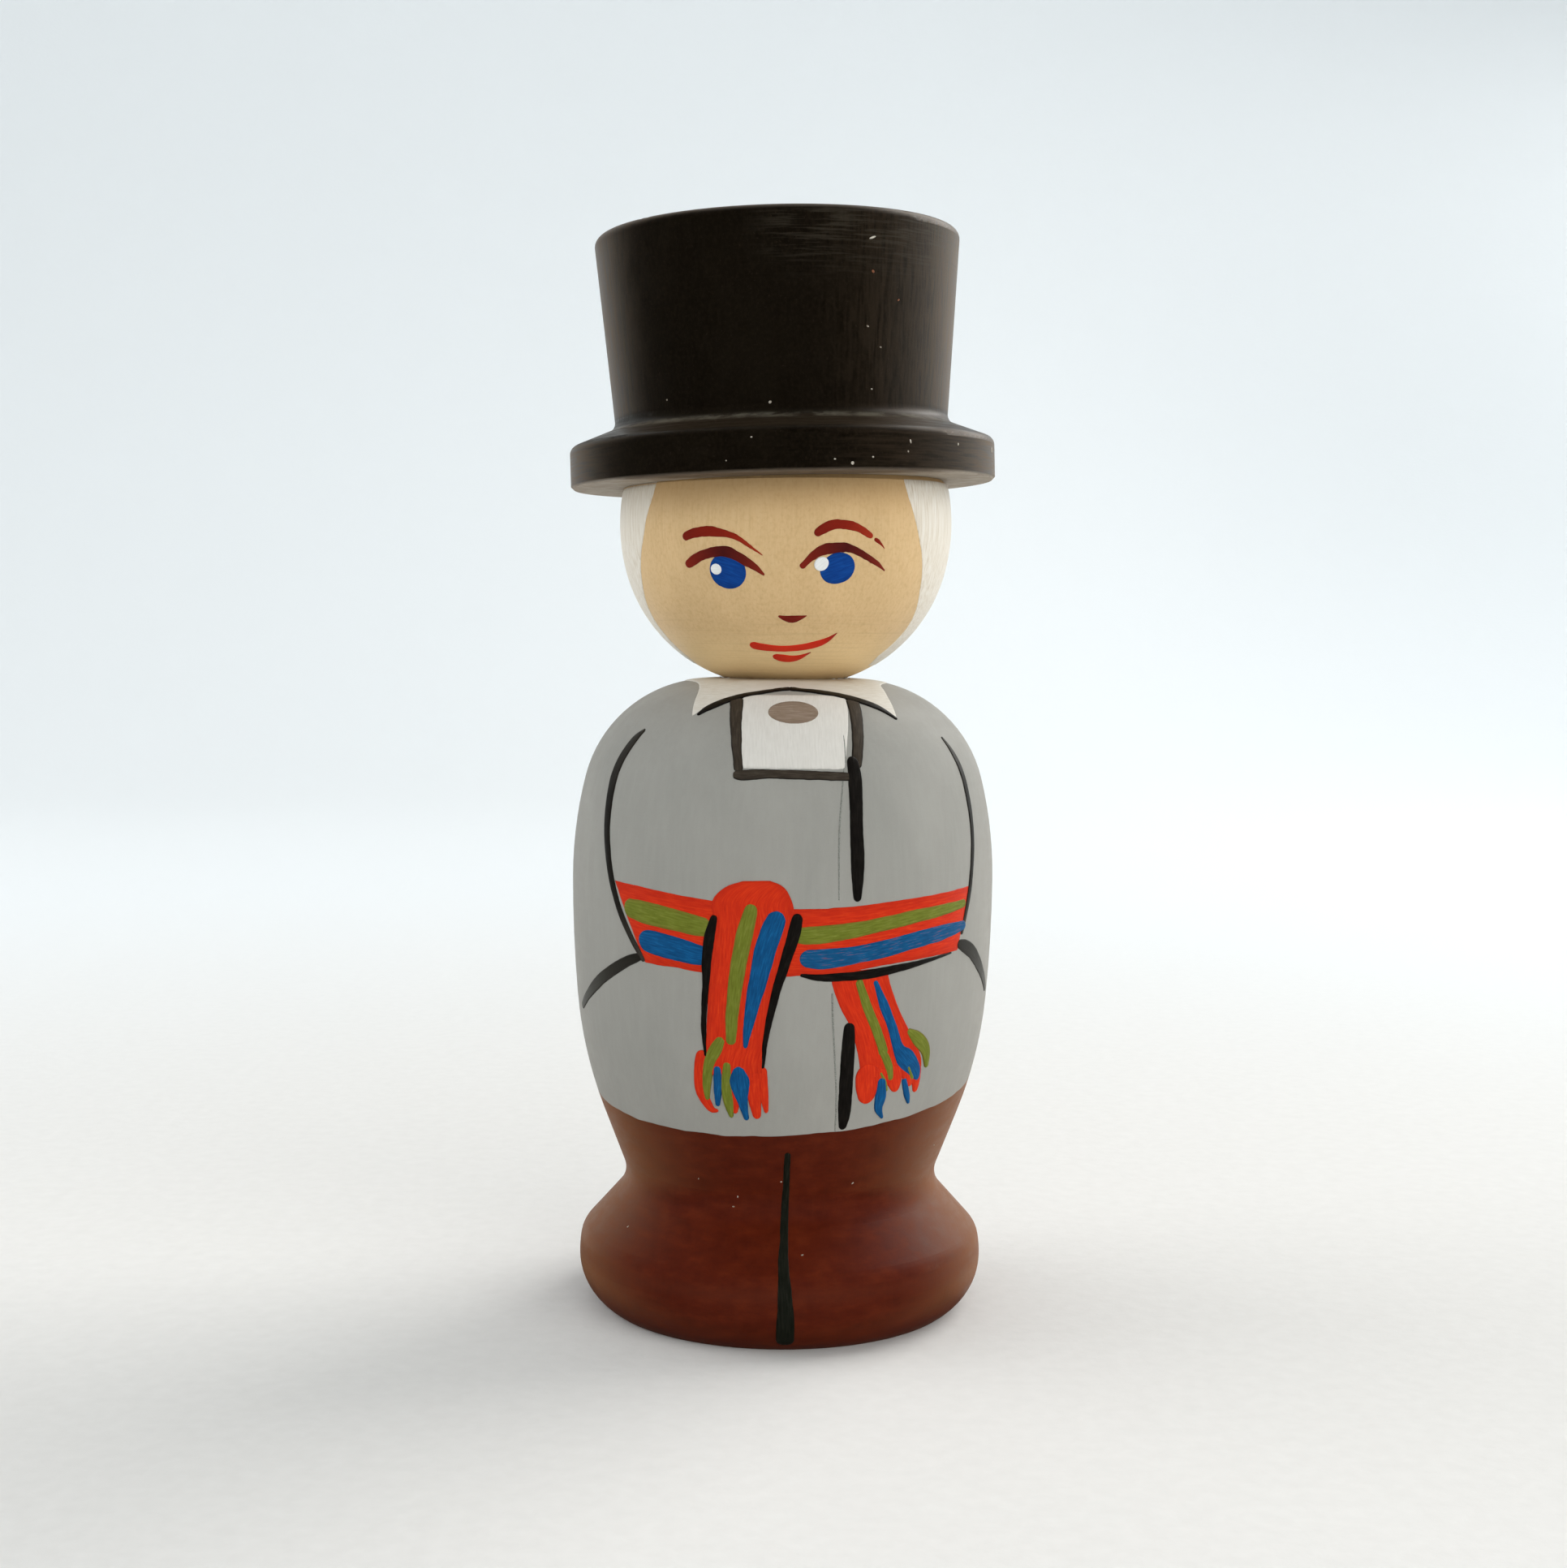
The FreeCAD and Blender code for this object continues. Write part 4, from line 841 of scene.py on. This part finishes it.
glints = Film("eye_glints", HEAD, GLINT, "white_paint", 0.11)
glints.dab(-24.1, 8.55, 1.2, 1.2, raggedness=0.03)
glints.dab(12.1, 7.95, 1.55, 1.45, lean=40, raggedness=0.03)

Film("nose", HEAD, NOSE, "brow_paint", 0.06, 0.03).stroke([
    (-2.6, 13.7, 0.2), (0.2, 14, 0.7), (2.8, 14.1, 0.95), (5.4, 13.95, 0.7), (8.5, 13.65, 0.1)
])

mouth = Film("mouth", HEAD, LIPS, "red_paint", 0.06, 0.04)
mouth.stroke([
    (-16.6, 17.5, 1.15), (-12.5, 17.85, 1.15), (-6, 18.1, 1), (1, 18.15, 0.95), (8.5, 17.9, 1),
    (15, 17.4, 1), (19.5, 16.75, 0.7), (23, 15.8, 0.1)
])
mouth.stroke([
    (-6.2, 19.3, 0.75), (-2, 19.7, 1.25), (3, 19.85, 1.2), (8, 19.55, 0.8), (13.4, 18.7, 0.12)
], lift=0.05)

# ---- The coat: collar and shirt front ----

collar = Film("collar", BODY, COLLAR, "white_paint", 0.07, 0.06)
collar_edge = [
    (-180, 5.2), (-140, 5.2), (-100, 4.7), (-75, 4.3), (-58, 4.7), (-48, 5.8), (-40, 7.9), (-33, 11.8),
    (-33, 11.8), (-29, 10.6), (-20, 8.6), (-8, 7.2), (3.1, 6.3), (3.1, 6.3), (14, 7), (26, 8.2),
    (36, 9.8), (41.8, 12), (41.8, 12), (45, 10), (50, 7.8), (60, 5.6), (76, 4.8), (100, 5), (140, 5.3),
    (180, 5.2)
]
collar.patch([(turn, 0.35, turn, down) for turn, down in collar_edge], step=0.5)

Film("shirt_front", BODY, WHITE, "white_paint", 0.055, 0.05).patch([
    (-17.4, 7.6, 26, 7.6), (-16.3, 9.5, 24.6, 9.5), (-13.6, 13.5, 20.5, 13.5), (-11.4, 18.2, 16.9, 18.2)
])

Film("brooch", BODY, BROOCH, "line_paint", 0.085).dab(3.2, 10.95, 5.15, 3.6, raggedness=0.05)

shirt_lines = Film("shirt_outline", BODY, FADED, "line_paint", 0.09, 0.07)
shirt_lines.strokes(
    [(-19.5, 8.7, 1.4), (-17.2, 10.6, 1.45), (-14.6, 14.4, 1.15), (-12.2, 18.4, 0.95)],
    [(28.2, 8.7, 1.5), (26.2, 10.8, 1.5), (23.2, 14.3, 1.3), (20.4, 18, 1.05)],
)
shirt_lines.stroke([
    (-13.8, 18.5, 0.6), (-12, 18.7, 1.1), (-4, 18.55, 1), (6, 18.65, 0.95), (19.4, 18.85, 0.9)
], lift=0.12)

# ---- The sash: red first, then the stripes, then the black lines that shade it ----

sash = Film("sash_red", BODY, RED, "red_paint", 0.055, 0.06)
sash.patch([
    (-49.3, 30.2, -37.9, 38.3), (-42, 30.4, -33.5, 38.4), (-32.6, 30.8, -27.5, 38.5),
    (-25, 31.1, -22.5, 38.7), (-15, 31.5, -15, 38.9)
])
sash.patch([
    (0, 32, -1, 38.9), (9, 32, 8, 38.7), (16.3, 31.9, 16, 38.5), (33.7, 31.4, 30, 37.9),
    (46, 31.1, 42.5, 37.6), (58.3, 30.8, 53.3, 37.4)
])
# passing round behind the sleeves to the back, level and even
sash.patch([
    (119.5, 31.2, 124, 37.6), (140, 31.6, 142, 38.2), (180, 31.9, 180, 38.6), (218, 31.6, 216, 38.3),
    (240.5, 31, 236, 37.8)
])

knot = Film("sash_knot", BODY, RED, "red_paint", 0.12, 0.05)
knot.patch([
    (-9.8, 29.3, -3.4, 29.2), (-14.5, 30, 0.4, 29.9), (-17.8, 31.4, 2.7, 31.6),
    (-17.6, 33.2, 2.6, 33.4), (-18, 36, 1.2, 36), (-18.6, 39.2, -1.2, 39.4), (-19.5, 43.2, -3.4, 43),
    (-20.2, 46.2, -4.6, 45.6), (-21.8, 48.2, -4.6, 47.6), (-22, 49.6, -4.8, 49.2)
], step=0.45)
knot.patch([
    (12.5, 38.2, 28, 38.2), (12.8, 39.7, 28.6, 39.6), (15, 42, 31.2, 42), (18, 44.2, 34.4, 44.2),
    (19.8, 46.2, 38, 46.2), (21.2, 48.2, 41.2, 48.2), (21.8, 50.2, 42.2, 50.2)
], lift=0.06, step=0.45)

Film("tassels_red", BODY, RED, "red_paint", 0.1, 0.05).strokes(
    [(-20.8, 46.8, 1.4), (-22, 49, 1.5), (-22.2, 51.4, 1.35), (-19.8, 53.2, 0.8), (-17.8, 53.3, 0.3)],
    [(-16.8, 48, 1.8), (-16.4, 49.8, 1.2), (-16.2, 51, 0.5)],
    [(-13, 48.4, 1.8), (-12.7, 51.4, 1.3), (-12.9, 53.5, 0.5)],
    [(-10.4, 48, 2.4), (-10.2, 50, 2.2), (-9.8, 51.8, 1)],
    [(-7.4, 47.8, 2.1), (-7.2, 51.2, 1.6), (-6.6, 54, 0.75)],
    [(-5.2, 48.2, 1.2), (-4.6, 51.2, 0.95), (-4, 53.3, 0.4)],
    [(23.6, 48.2, 2.8), (24.2, 50.6, 2.6), (24.5, 52.6, 1.4)],
    [(27.6, 48.8, 2), (28.6, 50.6, 1.6), (29, 51.6, 0.8)],
    [(31.4, 48.6, 2.2), (32.8, 50.4, 1.8), (33.8, 51.6, 0.7)],
    [(36, 48.2, 2), (37.4, 50, 1.6), (38.6, 51.2, 0.6)],
    [(39.6, 48.8, 1.6), (40.6, 50.8, 1.1), (41, 52, 0.6)],
)

stripes_green = Film("sash_stripes_green", BODY, GREEN, "green_paint", 0.1, 0.06)
stripes_green.strokes(
    [(-44.8, 32.7, 1.9), (-38, 33.1, 2.35), (-30, 33.5, 2.3), (-22, 34, 2.1), (-17.9, 34.2, 1.7)],
    [(2.4, 34.7, 1.5), (8, 34.7, 1.9), (16.3, 34.35, 1.7), (26, 33.8, 1.5), (35, 33.3, 1.45),
     (45, 32.9, 1.25), (56, 32.5, 0.8)],
)
stripes_green.stroke([
    (-7.4, 31.6, 1.3), (-9.3, 34.5, 1.75), (-11, 38, 1.65), (-12.4, 42, 1.5), (-13.2, 46, 1.1)
], lift=0.17)
stripes_green.stroke([
    (19.7, 39.3, 0.8), (22.4, 42.1, 1.05), (25.4, 44.6, 1.1), (28.4, 47.4, 1.1)
], lift=0.12)

stripes_blue = Film("sash_stripes_blue", BODY, BLUE, "blue_paint", 0.11, 0.06)
stripes_blue.stroke([
    (-39.6, 35.8, 1.8), (-35, 36.1, 2.45), (-28, 36.5, 2.45), (-22.5, 36.9, 2.2), (-18.6, 37.1, 1.8)
])
stripes_blue.stroke([
    (-0.6, 32.3, 1.5), (-2, 33.6, 2.2), (-4.2, 36.2, 2.2), (-6, 39.4, 1.9), (-8, 43, 1.3),
    (-9.4, 46.3, 0.5)
], lift=0.17)
stripes_blue.stroke([
    (24.3, 39.5, 0.5), (27.2, 42.1, 1.1), (30, 44.4, 1.15), (32.6, 46.8, 1.4), (35.4, 48, 2.2),
    (39.4, 49.5, 1.6), (41, 50.6, 0.6)
], lift=0.12)

Film("sash_stripe_blue_long", BODY, BLUE_THIN, "blue_paint", 0.11, 0.06).stroke([
    (4.4, 37, 1.7), (10, 37.1, 2.1), (17, 36.85, 1.9), (26, 36.35, 1.8), (35, 35.75, 1.75),
    (45, 35.25, 1.7), (56.2, 34.8, 1)
])

back_halves = (
    [(122, 31.3), (140, 31.5), (160, 31.7), (179, 31.8)],
    [(184, 31.9), (205, 31.7), (222, 31.4), (236, 31.1)],
)
for name, finish, slot, below, width in (
    ("sash_back_green", GREEN, "green_paint", 2.2, 1.4),
    ("sash_back_blue", BLUE, "blue_paint", 4.8, 1.5),
):
    stripe = Film(name, BODY, finish, slot, 0.1, 0.07)
    for *most, (last_turn, last_down) in back_halves:
        line = [(turn, down + below, width) for turn, down in most]
        stripe.stroke([*line, (last_turn, last_down + below, width * 0.9)])

Film("tassel_strands_green", BODY, GREEN, "green_paint", 0.13, 0.05).strokes(
    [(-15.4, 45.2, 0.9), (-17.2, 46.5, 1.5), (-19.2, 48, 1.3), (-20.5, 50.4, 1), (-20.7, 52.2, 0.5)],
    [(-14.2, 47.8, 0.9), (-14.9, 50.6, 1.2), (-14.4, 52.6, 1.05), (-14, 54, 0.4)],
    [(27.4, 46.8, 0.8), (30.2, 48.6, 0.95), (31.4, 50.2, 0.6)],
    [(27.7, 49.2, 0.3), (29.4, 50.3, 0.5), (30.6, 51.4, 0.3)],
    [(35.2, 45, 0.5), (38.8, 46, 1.5), (42.4, 47.4, 1.3), (43.8, 49.4, 0.5)],
    [(36.6, 48.9, 0.4), (39, 50.4, 0.5)],
)

Film("tassel_strands_blue", BODY, BLUE, "blue_paint", 0.14, 0.06).strokes(
    [(-17, 48.3, 0.9), (-17.3, 50.6, 0.95), (-17.8, 52.8, 0.45)],
    [(-11.2, 48.2, 0.9), (-11.1, 49.7, 2.2), (-10.9, 50.9, 1.8), (-10.6, 52.2, 1.05), (-9.6, 54.2, 0.5)],
    [(28.3, 49.8, 0.9), (28.9, 51.8, 1.35), (28.8, 53.3, 0.95), (30.8, 54.5, 0.3)],
    [(35.8, 50.2, 0.6), (38.2, 52.2, 0.75), (39.4, 53.2, 0.3)],
)

# ---- Black lines ----

lines = Film("coat_outline", BODY, BLACK, "line_paint", 0.1, 0.06)
lines.strokes(
    [(-31.2, 11.7, 0.4), (-27.5, 10.3, 1), (-20, 8.6, 0.95), (-10, 7.35, 0.75), (-1, 6.5, 0.75),
     (2.8, 6.3, 1.2)],
    [(2.2, 6.3, 1.2), (7, 6.6, 0.8), (15, 7.1, 0.85), (26, 8.3, 1.05), (36, 10.1, 0.9),
     (41.6, 12.2, 0.35)],
    lift=0.13,
)
lines.stroke([
    (19.5, 16.7, 1.1), (19.7, 19, 1.45), (19.2, 23.5, 1.4), (19.1, 28, 1.45), (19, 31.4, 0.8)
], lift=0.15)
lines.stroke([
    (17.8, 43.7, 1.1), (17.7, 46, 1.4), (17.9, 50, 1.45), (18.3, 53.6, 1.4), (18.3, 55.4, 0.7)
])
lines.strokes(
    [(-17, 32.8, 0.7), (-18.4, 35, 1.2), (-19.2, 37.6, 1.15), (-19.6, 40.2, 0.75), (-20.4, 43.8, 0.6),
     (-20.2, 47.4, 0.35)],
    [(3.9, 32.5, 1.1), (2.9, 34.5, 1.35), (0.6, 37.6, 1.15), (-2.2, 41.6, 0.85), (-4, 45.2, 0.6),
     (-4.9, 48.4, 0.3)],
    lift=0.16,
)
lines.stroke([
    (4.6, 38.7, 0.3), (10, 39, 0.75), (20, 38.9, 0.95), (29.6, 38.5, 0.85), (40, 38, 0.5),
    (50, 37.5, 0.15)
], lift=0.14)

Film("sleeve_lines", BODY, SLEEVE, "line_paint", 0.09, 0.05).strokes(
    [(-50, 14, 0.4), (-52.4, 15.4, 1.2), (-54.8, 18.4, 1.4), (-55.2, 21.4, 1.3), (-54, 25.2, 1.1),
     (-51.6, 28.6, 0.95), (-48.6, 31.8, 0.85), (-44.2, 34.9, 0.75), (-38, 38.2, 0.6)],
    [(58.8, 14.8, 0.35), (60.8, 17.2, 0.9), (61.8, 20.3, 0.95), (61.6, 24.4, 0.85), (60, 28.2, 0.75),
     (57.6, 32.2, 0.7), (54.4, 35.8, 0.5)],
    [(128, 15, 0.3), (124, 18, 0.55), (121.5, 22, 0.6), (120.5, 27, 0.5), (121, 31, 0.3)],
    [(-127, 15, 0.3), (-122.5, 18, 0.6), (-120, 22.5, 0.65), (-119.5, 27, 0.5), (-120.5, 31, 0.3)],
    [(180, 42.5, 0.6), (179.6, 47, 1.1), (179.9, 51, 1.2), (180.2, 53, 0.6)],
)

Film("cuff_lines", BODY, CUFF, "line_paint", 0.08, 0.06).strokes(
    [(-38.4, 37.6, 0.8), (-44, 38.4, 1.15), (-50.3, 39.6, 1.3), (-60.3, 41.8, 1.3), (-73, 44.9, 0.8)],
    [(52.6, 36.7, 0.8), (57, 37.2, 1.5), (62, 38.2, 1.6), (70, 40.6, 1.3), (77, 42.9, 0.7)],
)

pencil = Film("pencil_line", BODY, PENCIL, "line_paint", 0.035, 0.1)
pencil.strokes(
    [(16.9, 17.9, 0.14), (15.9, 20, 0.18), (14.6, 24, 0.2), (14.2, 27.6, 0.18), (14.2, 31.2, 0.14)],
    [(12.9, 40.6, 0.2), (13.4, 44, 0.2), (14.4, 48, 0.18), (15.5, 52, 0.18), (16.1, 55.6, 0.16)],
    raggedness=0.03,
)
pencil.stroke([(18.5, 14.2, 0.1), (18, 15.8, 0.14), (17.4, 17.4, 0.1)], raggedness=0.04, lift=0.08)

Film("trouser_line", BODY, TROUSER_LINE, "line_paint", 0.06, 0.07).stroke([
    (2.3, 58, 0.62), (2.2, 59.6, 0.66), (1.9, 63.5, 0.74), (1.4, 68, 0.9), (1.2, 71.5, 1.15),
    (1.6, 75, 1.6), (1.8, 78, 1.9), (1.8, 80.15, 1.85)
])

# ---- Bits of grit, and crumbs of paint at the neck ----

dice = random.Random(1)
crumbs = Film("neck_crumbs", BODY, WHITE, "white_paint", 0.12)
crumb_turns = (-96, -84, -78, -71, -64, -58, 52, 61, 66, 73, 81, 88, 97, 131, 154, 178, 203, 226, 249)
for turn in crumb_turns:
    size = dice.uniform(0.25, 0.55)
    turn, down = turn + dice.uniform(-3, 3), dice.uniform(0.35, 0.8)
    crumbs.dab(turn, down, size * 1.6, size, lift=dice.uniform(0.1, 0.2))

crown_grit = Film("hat_grit_crown", CROWN, PALE_GRIT, "painted_hat", 0.05)
for spot in (
    (29.5, 3.7, 0.8, 0.22, 20), (28.5, 12.4, 0.16, 0.3, 70), (33.5, 14.4, 0.14, 0.26, 80),
    (30.5, 18.6, 0.22, 0.16, 0), (-3.5, 19.9, 0.32, 0.28, 30), (-40, 19, 0.14, 0.2, 0),
):
    crown_grit.dab(*spot)

warm_grit = Film("hat_grit_warm", CROWN, ORANGE_GRIT, "painted_hat", 0.05)
warm_grit.dab(30, 7, 0.35, 0.28, -40)
warm_grit.dab(40, 9.6, 0.3, 0.2, 30)

brim_grit = Film("hat_grit_brim", BRIM, PALE_GRIT, "painted_hat", 0.05)
for spot in (
    (-7.5, 1, 0.2, 0.16, 0), (34, 1.5, 0.18, 0.45, 15), (33.2, 2.5, 0.16, 0.22, 0),
    (51.5, 1.5, 0.2, 0.3, 0), (75, 1.5, 0.3, 0.7, 10), (23, 3.1, 0.22, 0.18, 0),
    (17.5, 3.7, 0.32, 0.34, 0), (13, 3.3, 0.22, 0.16, 0), (-14, 3.2, 0.14, 0.14, 0),
    (120, 3, 0.2, 0.2, 0), (200, 3.4, 0.24, 0.18, 0),
):
    brim_grit.dab(*spot)

foot_grit = Film("foot_grit", BODY, PALE_GRIT, "painted_body", 0.04)
for _ in range(16):
    size = dice.uniform(0.09, 0.17)
    turn, down = dice.uniform(-180, 180), dice.uniform(58, 79)
    foot_grit.dab(turn, down, size * dice.uniform(1, 2.5), size, dice.uniform(0, 90))
foot_grit.dab(0.4, 61.6, 0.2, 0.18)

for film in FILMS:
    film.done()

# ---- Studio ----


def backdrop(name, start, sweep):
    """A pale paper floor that curves up into a wall, spun round the figurine from start by sweep."""
    mesh = bmesh.new()
    bend_starts, bend, paper_top = 0.7, 0.8, 2.6
    profile = [(0.0, 0.0), (bend_starts / 2, 0.0), (bend_starts, 0.0)]
    for degrees in range(6, 91, 6):
        angle = math.radians(degrees)
        profile.append((bend_starts + bend * math.sin(angle), bend - bend * math.cos(angle)))
    wall = bend_starts + bend
    profile += [(wall, 2 * bend), (wall, paper_top)]
    verts = [mesh.verts.new((x, 0.0, z)) for x, z in profile]
    edges = [mesh.edges.new(pair) for pair in zip(verts, verts[1:])]
    turn = Matrix.Rotation(math.radians(start), 4, "Z")
    bmesh.ops.transform(mesh, matrix=turn, verts=mesh.verts)
    whole = {"geom": verts + edges, "angle": math.radians(sweep), "steps": round(sweep / 3)}
    bmesh.ops.spin(mesh, axis=(0, 0, 1), cent=(0, 0, 0), **whole)
    bmesh.ops.remove_doubles(mesh, verts=mesh.verts, dist=1e-6)
    for face in mesh.faces:
        face.smooth = True
    data = bpy.data.meshes.new(name)
    bmesh.ops.recalc_face_normals(mesh, faces=mesh.faces)
    mesh.to_mesh(data)
    mesh.free()
    paper = Recipe("backdrop_paper", 0.85, 0.2)
    mm = paper.place()
    speckle = paper.grain(mm, (0.5, 0.5, 0.5), detail=4)
    floor = paper.ramp(speckle, (0.3, (0.79, 0.772, 0.744)), (0.7, (0.82, 0.802, 0.774)))
    x, y, z = paper.parts(mm)
    reach = paper.reach(x, y)
    colour = paper.blend(paper.window(reach, 60, 420), floor, (0.83, 0.855, 0.865))
    colour = paper.blend(paper.window(reach, 600, 1300), colour, (0.87, 0.9, 0.915))
    # painted shade: the paper is darker towards the window side, damping the window's light on it
    window_side_shade = paper.times(paper.window(x, 50, 520), paper.window(reach, 300, 900))
    window_side_shade = paper.times(window_side_shade, paper.window(z, 480, 120, 0.25, 1.0))
    colour = paper.blend(window_side_shade, colour, (0.655, 0.69, 0.71))
    data.materials.append(paper.finish(colour, None, speckle, 0.05))
    sheet = bpy.data.objects.new(name, data)
    bpy.context.scene.collection.objects.link(sheet)
    return sheet


backdrop("backdrop", -12, 162)
front = backdrop("backdrop_front", 150, 198)
front.visible_glossy = False


def softbox(name, spot, aim, width, height, power, colour):
    data = bpy.data.lights.new(name, "AREA")
    data.shape = "RECTANGLE"
    data.size, data.size_y = width, height
    data.energy = power
    data.color = colour
    lamp = bpy.data.objects.new(name, data)
    lamp.location = spot
    lamp.rotation_euler = (Vector(aim) - Vector(spot)).to_track_quat("-Z", "Y").to_euler()
    lamp.visible_camera = False
    bpy.context.scene.collection.objects.link(lamp)
    return lamp


WINDOW, ROOM, LEFT, CEILING, WORLD = 11.8, 6.2, 3.1, 6.4, 0.04  # how strong each light is
CHEST = (0, 0, 0.06)  # the lamps face the middle of the figurine
WARM_WHITE = (1.0, 0.985, 0.96)
softbox("window_light", (0.86, 0.64, 0.85), CHEST, 0.95, 0.95, WINDOW, WARM_WHITE)
softbox("ceiling_light", (-0.1, 0.45, 2.2), (-0.1, 0.9, 0.6), 1.8, 1.8, CEILING, (0.96, 0.985, 1.0))
for unseen in (
    softbox("room_light", (0.6, -0.86, 0.4), CHEST, 1.1, 0.8, ROOM, WARM_WHITE),
    softbox("left_light", (-0.8, 0.12, 0.4), CHEST, 0.7, 0.7, LEFT, (0.98, 0.99, 1.0)),
):
    unseen.visible_glossy = False

world = bpy.data.worlds.new("soft_room")
world.use_nodes = True
background = world.node_tree.nodes["Background"]
background.inputs["Color"].default_value = (0.93, 0.965, 1.0, 1.0)
background.inputs["Strength"].default_value = WORLD
bpy.context.scene.world = world

camera_data = bpy.data.cameras.new("camera")
camera_data.sensor_width = 36.0
camera_data.lens = 49.47  # mm
camera = bpy.data.objects.new("camera", camera_data)
bpy.context.scene.collection.objects.link(camera)
EYE = (0, -0.2355, 0.0739)  # where the camera stands, metres
PITCH, ROLL = math.radians(4.16), math.radians(0.5)
tilt = Matrix.Rotation(math.pi / 2 - PITCH, 4, "X") @ Matrix.Rotation(ROLL, 4, "Z")
camera.matrix_world = Matrix.Translation(EYE) @ tilt
camera_data.clip_start = 0.01
bpy.context.scene.camera = camera
bpy.context.scene.view_settings.view_transform = "Standard"
